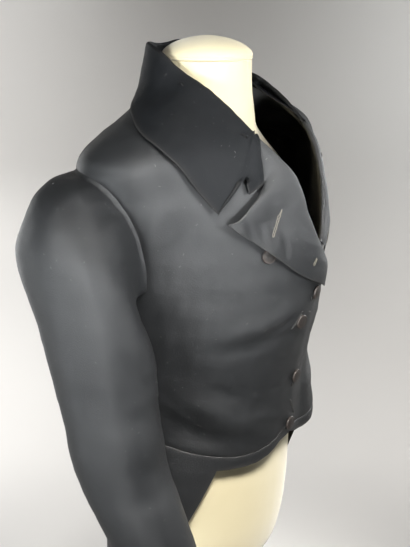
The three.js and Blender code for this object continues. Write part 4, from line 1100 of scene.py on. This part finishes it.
half_run = np.linspace(0, 9.6, 97)
lines = collar_lines(half_run)
stand_rows = []
for side in (RIGHT, LEFT):
    roll = collar_roll(side, lines)
    away = unit(roll * [1, 1, 0])
    top = roll - away * 3.4 - [0, 0, 3.2]
    neck = coat_point(side * lines["neck_angle"], lines["neck_z"] + 1.6)
    top[:, 2] = np.maximum(top[:, 2], neck[:, 2] + 0.8)
    share = (finer(3, 5) / 3)[None, :, None]
    half = neck[:, None] * (1 - share) + top[:, None] * share
    stand_rows.append(half[::-1] if side == RIGHT else half[1:])
stand_grid = np.concatenate(stand_rows)
stand = cloth_shell("collar_stand_cloth", stand_grid, grid_normals(stand_grid, stand_grid * [1, 1, 0]),
                    [collar_wool_dulled_as_shade, collar_wool_dulled_as_shade], wall=stand_wall)
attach(stand, "root")
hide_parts("collar_stand")

# Sleeves, right and left. Each is an upper and an under sleeve of the same wool, seamed along the forearm and
# behind the elbow, with a little fullness gathered into the head where it is set into the armhole.
sleeve_names = "x y z wide deep lean tilt"
right_sleeve = table(sleeve_names, [
    (238, 1, 1270, 64, 75, 0, 34),
    (234, -22, 1222, 57, 64, 2, 12),
    (235, -28, 1180, 51, 57, 4, 3),
    (232, -38, 1138, 47, 53, 6, 0),
    (233, -42, 1092, 50, 56, 12, 0),
    (229, -54, 1050, 48, 54, 20, 0),
    (223, -73, 1005, 44, 48, 24, 0),
    (216, -94, 955, 40, 43, 24, 0),
    (210, -115, 905, 38, 41, 24, 0),
    (205, -134, 858, 36, 39, 24, 0),
    (201, -150, 820, 35, 37, 24, 0),
])
left_sleeve = table(sleeve_names, [
    (233, 30, 1268, 60, 68, 0, 34),
    (234, 38, 1222, 57, 64, -6, 12),
    (233, 47, 1180, 55, 60, -8, 3),
    (230, 55, 1135, 54, 58, -8, 0),
    (226, 62, 1092, 53, 57, -7, 0),
    (221, 68, 1048, 52, 55, -5, 0),
    (215, 72, 1000, 50, 53, -3, 0),
    (208, 74, 950, 47, 50, -1, 0),
    (202, 75, 900, 44, 47, 0, 0),
    (197, 75, 850, 41, 44, 0, 0),
    (194, 74, 808, 39, 42, 0, 0),
])
sleeve_head_rows = 7
sleeve_start = -52
loop_places = 20
loop_degrees = 360 / loop_places
front_places, back_places = 9, 4
# Folds of the sleeve: degrees round it, ring, reach in rings and degrees, height
sleeve_folds = table("round ring along across height", [
    (20, 2.2, 1.4, 20, 3),
    (58, 3.5, 1.6, 24, -3),
    (100, 2.6, 1.6, 22, 2.4),
    (150, 4.0, 1.8, 26, -2.6),
    (10, 10.6, 0.8, 60, 3.2),
    (0, 11.8, 0.8, 55, -3.0),
    (20, 13.0, 0.8, 50, 2.6),
    (110, 13.6, 1.0, 40, 2.2),
    (28, 1.0, 1.1, 4, 1.3),
    (38, 1.1, 1.2, 5, -1.1),
    (50, 0.9, 1.0, 4, 1.2),
    (66, 1.0, 1.1, 5, 1.1),
    (80, 1.0, 1.0, 5, -1.0),
    (40, 5.4, 2.4, 9, 1.2),
    (64, 7.6, 3.0, 10, -1.2),
    (120, 8.0, 3.0, 12, 1.2),
    (-10, 9.4, 0.35, 34, 1.3),
    (30, 12.2, 0.35, 30, -1.2),
    (60, 14.4, 0.5, 30, 1.2),
    (-36, 8.7, 1.1, 36, 5.5),
    (144, 7.7, 1.0, 40, -4.5),
    (160, 11.0, 0.5, 36, 1.6),
    (150, 12.4, 0.5, 34, -1.6),
])


def armhole_loop(k):
    """The armhole by loop position k: up the front, over the shoulder, down the back, forward under the arm."""
    k = np.mod(k, loop_places)
    above = front_places + back_places
    front = armhole_front(np.clip(k / front_places, 0, 1))
    rear = armhole_back(np.clip(1 - (k - front_places) / back_places, 0, 1))
    under = underarm(np.clip(1 - (k - above) / (loop_places - above), 0, 1))
    return tuple(np.where(k < front_places, at_front, np.where(k < above, at_back, at_arm))
                 for at_front, at_back, at_arm in zip(front, rear, under))


def sleeve_rings(side):
    """Coarse rings as in the source, from the armhole to the cuff, without their folds."""
    stations = right_sleeve if side == RIGHT else left_sleeve
    k = np.arange(loop_places)
    loop = layered(side, *armhole_loop(k), 0.9)
    loop = loop + unit(loop.mean(0) - loop) * 2.4
    turn = np.radians(sleeve_start + k * loop_degrees)
    rings = []
    for x, y, z, wide, deep, lean, tilt in zip(*(stations[name] for name in sleeve_names.split())):
        lean, tilt = math.radians(lean), math.radians(tilt)
        forward, out = np.cos(turn) * deep, np.sin(turn) * wide
        rings.append(np.stack([side * (x + out * math.cos(tilt)), y - forward * math.cos(lean),
                               z + forward * math.sin(lean) + out * math.sin(tilt)], -1))
    head = []
    for i in range(sleeve_head_rows):
        t = i / sleeve_head_rows
        bend = np.stack([loop[:, 0] + (rings[0][:, 0] - loop[:, 0]) * 0.92,
                         loop[:, 1] + (rings[0][:, 1] - loop[:, 1]) * 0.45,
                         loop[:, 2] - (rings[0][:, 2] - loop[:, 2]) * 0.06], -1)
        head.append(loop * (1 - t) ** 2 + bend * 2 * t * (1 - t) + rings[0] * t * t)
    return np.array(head + rings)


def relaxed(rings, rows, reach, low, high):
    """Evens out the rings between two rows, so that no corner is left where the head meets the sleeve."""
    near = np.exp(-(((rows[:, None] - rows[None, :]) / reach) ** 2)) * np.gradient(rows)[None, :]
    evened = np.tensordot(near / near.sum(1, keepdims=True), rings, 1)
    share = (smooth_step(rows, low, low + 1.2) * (1 - smooth_step(rows, high - 1.2, high)))[:, None, None]
    return rings + (evened - rings) * share


armhole_lip = {"under": 1.0, "depth": 1.9, "reach": 1.8, "fuller": 1.3, "fuller_reach": 16}
for side, word in both_sides:
    coarse = sleeve_rings(side)
    rows = np.unique(np.round(np.concatenate([finer(17, 7), [0.03, 0.07, 0.11, 0.16, 0.2, 0.24, 16.95]]), 4))
    rings = relaxed(smooth_between(coarse, 0, len(coarse) - 1, rows), rows, 1.0, 1.5, 13)
    middles = rings.mean(1)
    wrapped = np.concatenate([rings[:, -4:], rings, rings[:, :6]], 1).transpose(1, 0, 2)
    for part, first, last in (("upper", -2.0, 13.0), ("under", 13.0, 18.0)):
        columns = first + finer(int(last - first), 6)
        fine = smooth_between(wrapped, 0, len(wrapped) - 1, columns + 4).transpose(1, 0, 2)
        loop_angle, loop_z = armhole_loop(columns)
        cut = layered(side, loop_angle, loop_z)
        body_out = coat_normal(side * loop_angle, loop_z)
        into_hole = unit(rings[0].mean(0) - cut)
        steps = np.linalg.norm(np.diff(fine, axis=0), axis=-1)
        run = np.concatenate([np.zeros((1, fine.shape[1])), np.cumsum(steps, axis=0)])[..., None]
        start = cut - into_hole * armhole_lip["under"] - body_out * armhole_lip["depth"]
        fine = fine + (start - fine[0]) * np.exp(-(run / armhole_lip["reach"]) ** 2)
        fuller = (1 - np.exp(-(run / 2.6) ** 2)) * np.exp(-(run / armhole_lip["fuller_reach"]) ** 2)
        fine = fine + body_out * armhole_lip["fuller"] * fuller
        round_angle = (sleeve_start + columns * loop_degrees)[None, :]
        height = np.zeros(fine.shape[:2])
        for around, ring, along, across_reach, bulge in zip(*sleeve_folds.values()):
            height += bulge * np.exp(-((turn_between(round_angle, around) / across_reach) ** 2)
                                     - ((rows[:, None] - ring) / along) ** 2)
        height *= smooth_step(rows, 0, 0.8)[:, None]
        fine = fine + unit(fine - middles[:, None]) * height[..., None]
        outward = grid_normals(fine, fine - middles[:, None])
        seam = edge_closeness(fine, ["first", "last"], 2.4)
        fine = press_in(fine, outward, 0.8 * seam)
        wear = np.maximum(seam * 0.5, edge_closeness(fine, ["top"], 4))
        sleeve = cloth_shell(f"sleeve_{part}_cloth_{word}", fine, outward, [coat_wool, lining], wear=wear)
        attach(sleeve, "root")
        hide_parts(f"sleeve_{part}_{word}")

# Buttons. Flat wooden moulds covered in black silk that has rubbed through to brown, on short thread shanks: one
# over high on the right front, four that close the fronts, and two at the hips.
button_cloth, tree, shader = new_material("rubbed button silk", Roughness=0.55)
place = object_place(tree)
rubbing = noise_node(tree, place, 300.0, 5.0, 0.7)
twist = noise_node(tree, place, 1600.0, 3.0)
raised_share = math_node(tree, "MULTIPLY_ADD", mark_node(tree, "wear"), 0.6, -0.75)
worn_share = math_node(tree, "MULTIPLY_ADD", rubbing, 1.8, raised_share, clamp=True)
grain = math_node(tree, "MULTIPLY_ADD", twist, 0.5, rubbing)
feed(tree, shader, Base_Color=mix_colour(tree, worn_share, (0.004, 0.0035, 0.003), (0.028, 0.019, 0.015)),
     Normal=bump_node(tree, grain, 0.5, 0.0006))
button_sides = 40
button_profile = np.array([
    (0.01, 0), (4, 0), (7.2, 0.05), (8.4, 0.5), (9, 1.3), (9, 2.0), (8.6, 2.8), (7.8, 3.25), (7.0, 3.1),
    (6.4, 3.0), (5.6, 3.25), (4.2, 3.6), (2.6, 3.75), (1.2, 3.65), (0.01, 3.6)])
# name, angle, height, gap to the cloth
buttons = [
    ("button_top_right", -26.7, 1293.5, 0.6),
    ("button_front_1", 3.6, 1231.0, 0.6),
    ("button_front_2", -5.8, 1200.0, 0.6),
    ("button_front_3", 4.8, 1112.0, 0.6),
    ("button_front_4", 1.8, 1046.0, 1.0),
    ("button_hip_right", -160.0, 1034.0, 0.6),
    ("button_hip_left", 160.0, 1034.0, 0.6),
]
for name, angle, z, out in buttons:
    angle, z = np.array(angle), np.array(z)
    rings = lathe_rings(button_profile, button_sides, 0.004)
    turn = Vector(coat_normal(angle, z)).to_track_quat("Z", "Y").to_matrix()
    placed = rings @ np.array(turn).T + coat_point(angle, z, out)
    wear = np.repeat(np.interp(button_profile[:, 0], [0, 5, 7.5, 9], [0.3, 0.1, 0.9, 0.7]), button_sides)
    button = closed_rings(f"{name}_cloth", placed, [button_cloth], {"wear": wear})
    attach(button, "root")
    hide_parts(name)

# Buttonholes. Each is a slit worked round with close stitches of silk twist: pale and frayed on the lapels, dark
# on the fronts. The slit's edge is a thin cord of thread laid on the cloth, and the stitches cross it.
hole_size = {"half_width": 1.0, "cord": 0.42, "sides": 8, "points": 64}
stitch_size = {"spacing": 1.3, "length": 1.9, "thick": 0.34}
# name, cloth, angle and height of one end, angle and height of the other, thread
buttonholes = [
    ("lapel_right_upper", "lapel_cloth_right", -22.0, 1347, -26.8, 1318, "pale"),
    ("lapel_right_lower", "lapel_cloth_right", -3.5, 1299, -6.5, 1275, "pale"),
    ("lapel_left_upper", "lapel_cloth_left", 22.0, 1347, 26.8, 1318, "pale"),
    ("lapel_left_lower", "lapel_cloth_left", 11.5, 1301, 16.5, 1280, "pale"),
    ("front_1", "forepart_cloth_right", 4.6, 1240, 0.4, 1222, "dark"),
    ("front_2", "forepart_cloth_right", -5.2, 1213, -10.8, 1192, "dark"),
    ("front_3", "forepart_cloth_right", 5.2, 1120, 2.6, 1098, "dark"),
    ("front_4", "forepart_cloth_right", 8.9, 1053, 2.2, 1078, "dark"),
]


def thread(name, colour, frayed):
    material, tree, shader = new_material(name, Roughness=0.6)
    strands = noise_node(tree, object_place(tree), 2200.0, 3.0)
    feed(tree, shader, Base_Color=mix_colour(tree, strands, colour, frayed),
         Normal=bump_node(tree, strands, 0.5, 0.0002))
    return material


threads = {"pale": thread("worn silk twist", (0.04, 0.036, 0.03), (0.16, 0.14, 0.11)),
           "dark": thread("black silk twist", (0.006, 0.006, 0.006), (0.03, 0.028, 0.026))}


def on_cloth(name, angle, z, out):
    """Points on a piece of cloth at given angles and heights, raised by out millimetres, with their normals."""
    points, normals, _ = cloth_surfaces[name]
    turn = np.degrees(np.arctan2(points[:, 0], -points[:, 1]))
    found = []
    for a, height in zip(angle, z):
        near = ((turn - a) * mm_per_degree) ** 2 + (points[:, 2] - height) ** 2
        outermost = near - 0.02 * np.hypot(points[:, 0], points[:, 1])
        best = np.argsort(outermost)[:4]
        share = 1 / (near[best] + 0.05)
        share = share / share.sum()
        found.append(((points[best] * share[:, None]).sum(0), unit((normals[best] * share[:, None]).sum(0))))
    spots, ups = (np.array(column) for column in zip(*found))
    return spots + ups * out, ups


def tube(name, line, ups, radius, material, sides=8, closed=True):
    """A round cord along a line of points."""
    along = unit(np.roll(line, -1, 0) - np.roll(line, 1, 0) if closed else np.gradient(line, axis=0))
    across = unit(np.cross(along, ups))
    raised = np.cross(across, along)
    turn = (np.arange(sides) * 2 * math.pi / sides)[:, None]
    rings = line[:, None] + radius * (across[:, None] * np.cos(turn) + raised[:, None] * np.sin(turn))
    count = len(line)
    ids = np.arange(count * sides).reshape(count, sides)
    after = np.roll(ids, -1, 0) if closed else ids[1:]
    before = ids if closed else ids[:-1]
    faces = np.stack([before, np.roll(before, -1, 1), np.roll(after, -1, 1), after], -1).reshape(-1, 4)
    points = rings.reshape(-1, 3)
    if not closed:
        points = np.concatenate([points, line[:1], line[-1:]])
        first, last = np.full(sides, count * sides), np.full(sides, count * sides + 1)
        ends = [np.stack([np.roll(ids[0], -1), ids[0], first, first], 1),
                np.stack([ids[-1], np.roll(ids[-1], -1), last, last], 1)]
        faces = np.concatenate([faces] + ends)
    return mesh_piece(name, points, faces, [material])


def grown(name, bed, group, **values):
    """A plain mesh object made by a geometry node group from a bed mesh, which it replaces."""
    modifier = bed.modifiers.new("grow", "NODES")
    modifier.node_group = group
    for item in group.interface.items_tree:
        label = item.name.replace(" ", "_")
        if item.in_out == "INPUT" and label in values:
            modifier[item.identifier] = values[label]
    bpy.context.view_layer.update()
    made = bpy.data.meshes.new_from_object(bed.evaluated_get(bpy.context.evaluated_depsgraph_get()))
    bpy.data.objects.remove(bed)
    made.name = name
    return new_object(name, made)


def lay_out(group, given, result, points, instance, rotation, scale):
    """Lays a copy of a mesh on each point, as plain mesh in the given material."""
    placed = add_node(group, "GeometryNodeInstanceOnPoints", Points=points, Instance=instance, Rotation=rotation,
                      Scale=scale).outputs[0]
    real = add_node(group, "GeometryNodeRealizeInstances", Geometry=placed).outputs[0]
    coloured = add_node(group, "GeometryNodeSetMaterial", Geometry=real, Material=given["Material"]).outputs[0]
    feed(group, result, Geometry=coloured)


def stitch_row():
    """Stitches laid across a line at even steps."""
    group, given, result = node_group("stitch row", "Geometry", [
        ("Geometry", "Geometry"), ("Spacing", "Float", 0.0013), ("Length", "Float", 0.0019),
        ("Thickness", "Float", 0.00034), ("Material", "Material")], [("Geometry", "Geometry")])
    line = add_node(group, "GeometryNodeMeshToCurve", Mesh=given["Geometry"]).outputs[0]
    steps = group.nodes.new("GeometryNodeResampleCurve")
    steps.mode = "LENGTH"
    feed(group, steps, Curve=line, Length=given["Spacing"])
    stitch = add_node(group, "GeometryNodeMeshUVSphere", Segments=6, Rings=5, Radius=0.5).outputs["Mesh"]
    size = add_node(group, "ShaderNodeCombineXYZ", X=given["Length"], Y=given["Thickness"], Z=given["Thickness"])
    align = group.nodes.new("FunctionNodeAlignRotationToVector")
    align.axis = "Y"
    feed(group, align, Vector=group.nodes.new("GeometryNodeInputTangent").outputs[0])
    lay_out(group, given, result, steps.outputs[0], stitch, align.outputs[0], size.outputs[0])
    return group


def line_ring(name, points):
    """A mesh of edges alone, in a ring through points in millimetres."""
    mesh = bpy.data.meshes.new(name)
    count = len(points)
    mesh.from_pydata((points * MM).tolist(), [(k, (k + 1) % count) for k in range(count)], [])
    return new_object(name, mesh)


stitch_group = stitch_row()
for name, cloth, first_angle, first_z, last_angle, last_z, kind in buttonholes:
    turn = np.arange(hole_size["points"]) * 2 * math.pi / hole_size["points"]
    run = np.array([(last_angle - first_angle) * mm_per_degree, last_z - first_z])
    across = np.array([-run[1], run[0]]) / np.linalg.norm(run) * hole_size["half_width"]
    middle = np.array([(first_angle + last_angle) / 2 * mm_per_degree, (first_z + last_z) / 2])
    flat = middle + np.outer(np.cos(turn), run / 2) + np.outer(np.clip(np.sin(turn) * 2.2, -1, 1), across)
    line, ups = on_cloth(cloth, flat[:, 0] / mm_per_degree, flat[:, 1], 0.25)
    cord = tube(f"buttonhole_cord_{name}", line, ups, hole_size["cord"], threads[kind])
    stitches = grown(f"buttonhole_stitches_{name}", line_ring(name, line + ups * 0.1), stitch_group,
                     Spacing=stitch_size["spacing"] * MM, Length=stitch_size["length"] * MM,
                     Thickness=stitch_size["thick"] * MM, Material=threads[kind])
    for piece in (cord, stitches):
        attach(piece, "root")

# Lint and a loose thread. Short pale fibres that cling to the wool, strewn thinly over its outer side, and one
# longer pale thread caught on the right lapel.
lint_threads = thread("pale lint", (0.10, 0.10, 0.095), (0.30, 0.29, 0.27))
lint_size = {"length": 2.6, "thick": 0.1, "per_square_metre": 1500.0, "seed": 7}


def random_number(group, seed, low, high):
    node = add_node(group, "FunctionNodeRandomValue", Seed=seed)
    node.inputs[2].default_value, node.inputs[3].default_value = low, high
    return node.outputs[1]


def strewn_fibres():
    """Short bent fibres strewn over a surface, lying flat at any turn."""
    group, given, result = node_group("strewn fibres", "Geometry", [
        ("Geometry", "Geometry"), ("Density", "Float", 400.0), ("Length", "Float", 0.003),
        ("Thickness", "Float", 0.0001), ("Seed", "Int", 7), ("Material", "Material")],
        [("Geometry", "Geometry")])
    spots = add_node(group, "GeometryNodeDistributePointsOnFaces", Mesh=given["Geometry"],
                     Density=given["Density"], Seed=given["Seed"]).outputs
    bent = add_node(group, "GeometryNodeCurveArc", Resolution=5, Radius=0.5, Start_Angle=0.0, Sweep_Angle=1.9)
    share = math_node(group, "DIVIDE", given["Thickness"], given["Length"])
    round_end = add_node(group, "GeometryNodeCurvePrimitiveCircle", Resolution=4, Radius=share)
    fibre = add_node(group, "GeometryNodeCurveToMesh", Curve=bent.outputs[0], Profile_Curve=round_end.outputs[0],
                     Fill_Caps=True)
    spin = random_number(group, given["Seed"], 0.0, 2 * math.pi)
    turned = group.nodes.new("FunctionNodeRotateRotation")
    turned.rotation_space = "LOCAL"
    feed(group, turned, Rotation=spots["Rotation"],
         Rotate_By=add_node(group, "ShaderNodeCombineXYZ", Z=spin).outputs[0])
    size = random_number(group, math_node(group, "ADD", given["Seed"], 1.0), 0.3, 1.1)
    scale = math_node(group, "MULTIPLY", size, given["Length"])
    lay_out(group, given, result, spots["Points"], fibre.outputs[0], turned.outputs[0], scale)
    return group


bed_points, bed_faces, start = [], [], 0
for points, normals, quads in cloth_surfaces.values():
    bed_points.append(points + normals * 0.1)
    bed_faces.append(quads + start)
    start += len(points)
lint_bed = mesh_piece("lint_bed", np.concatenate(bed_points), np.concatenate(bed_faces), [])
lint = grown("lint", lint_bed, strewn_fibres(), Density=lint_size["per_square_metre"],
             Length=lint_size["length"] * MM, Thickness=lint_size["thick"] * MM, Seed=lint_size["seed"],
             Material=lint_threads)
thread_angle = np.array([-24.0, -24.6, -25.6, -26.2, -25.9, -25.2, -24.9])
thread_z = np.array([1404, 1402.6, 1402, 1400.6, 1398.8, 1398.2, 1397.0])
line, ups = on_cloth("lapel_cloth_right", thread_angle, thread_z, 0.5)
loose_thread = tube("loose_thread", line, ups, 0.18, lint_threads, sides=6, closed=False)
for piece in (lint, loose_thread):
    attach(piece, "root")

# Floor, backdrop, light and camera, as in a plain pale studio.
backdrop, tree, shader = new_material("pale backdrop", Roughness=0.9, Base_Color=(0.72, 0.71, 0.69, 1),
                                      Specular_IOR_Level=0.1)
view_turn = math.radians(54)
forward = np.array([math.sin(view_turn), math.cos(view_turn)])
sideways = np.array([forward[1], -forward[0]])
sweep = [(-6000, 0), (1500, 0)] + [(1500 + 900 * math.sin(a), 900 - 900 * math.cos(a))
                                   for a in np.radians(np.arange(7.5, 90, 7.5))] + [(2400, 900), (2400, 5200)]
grid = np.array([[(*(forward * d + sideways * s), h) for s in (-6000, 6000)] for d, h in sweep])
ids = np.arange(len(grid) * 2).reshape(-1, 2)
floor_faces = np.stack([ids[:-1, 0], ids[:-1, 1], ids[1:, 1], ids[1:, 0]], 1)
floor = mesh_piece("floor", grid.reshape(-1, 3), floor_faces, [backdrop])

world = bpy.data.worlds.new("studio")
world.use_nodes = True
background = world.node_tree.nodes["Background"]
feed(world.node_tree, background, Color=(0.97, 0.98, 1.0, 1), Strength=0.03)
bpy.context.scene.world = world


def soft_light(name, place, aim, size, watts, colour, spread=110):
    """A flat soft light. place and aim are sideways from the stand, away from the camera, and up, in metres."""
    data = bpy.data.lights.new(name, "AREA")
    data.shape = "RECTANGLE"
    data.size, data.size_y = size
    data.energy, data.color, data.spread = watts, colour, math.radians(spread)
    lamp = new_object(name, data)
    spot, target = (Vector((*(sideways * across + forward * away), up)) for across, away, up in (place, aim))
    lamp.location = spot
    lamp.rotation_euler = (target - spot).to_track_quat("-Z", "Y").to_euler()


soft_light("window left", (-1.2, -1.5, 1.3), (0, 0, 1.3), (1.2, 0.3), 4.9, (0.94, 0.98, 1.0), 34)
soft_light("sleeve front", (0.6, -1.9, 1.2), (-0.37, -0.1, 1.16), (0.4, 0.5), 1.0, (0.97, 0.99, 1.0), 13)
soft_light("window front", (0.6, -1.6, 1.25), (-0.05, -0.1, 1.42), (0.35, 0.3), 0.5, (0.97, 0.99, 1.0), 16)
soft_light("window right", (1.25, -1.2, 1.85), (0.0, -0.1, 1.37), (0.4, 0.35), 1.0, (0.97, 0.99, 1.0), 18)
soft_light("neck", (0.8, -1.6, 2.2), (0, 0, 1.53), (0.3, 0.3), 0.2, (1.0, 0.98, 0.95), 12)
soft_light("lower form", (0.4, -1.5, 2.9), (0.14, -0.05, 0.68), (0.6, 0.6), 4.8, (1.0, 0.98, 0.94), 18)
soft_light("behind left", (-1.8, 1.3, 0.9), (-0.1, 0, 1.0), (1.0, 1.0), 3, (0.97, 0.99, 1.0), 60)
soft_light("behind right", (1.8, 1.3, 1.6), (0.1, 0, 1.1), (1.0, 1.0), 5, (0.97, 0.99, 1.0), 60)
soft_light("backdrop left", (-1.5, 0.9, 1.5), (-1.4, 2.4, 1.0), (1.8, 1.4), 6.8, (1.0, 0.99, 0.98))
soft_light("backdrop right", (1.3, 0.7, 1.7), (1.2, 2.4, 0.9), (1.6, 1.4), 3.0, (1.0, 0.98, 0.96))
soft_light("floor left", (-1.3, 1.7, 2.6), (-1.1, 1.6, 0), (1.6, 1.0), 18, (1.0, 0.99, 0.98), 80)
soft_light("floor right", (1.3, 1.7, 2.6), (1.1, 1.6, 0), (1.6, 1.0), 10.8, (1.0, 0.98, 0.96), 80)
bpy.context.scene.view_settings.view_transform = "Standard"

camera_data = bpy.data.cameras.new("camera")
camera_data.lens = 52.65
camera_data.sensor_width = 36
camera_data.shift_x = -2 / 547
camera = new_object("camera", camera_data)
camera_distance, camera_height = 0.994, 1.57
pitch = math.radians(19.1)
camera.location = (*(forward * -camera_distance), camera_height)
aim = Vector((*(forward * math.cos(pitch)), -math.sin(pitch)))
camera.rotation_euler = aim.to_track_quat("-Z", "Y").to_euler()
bpy.context.scene.camera = camera
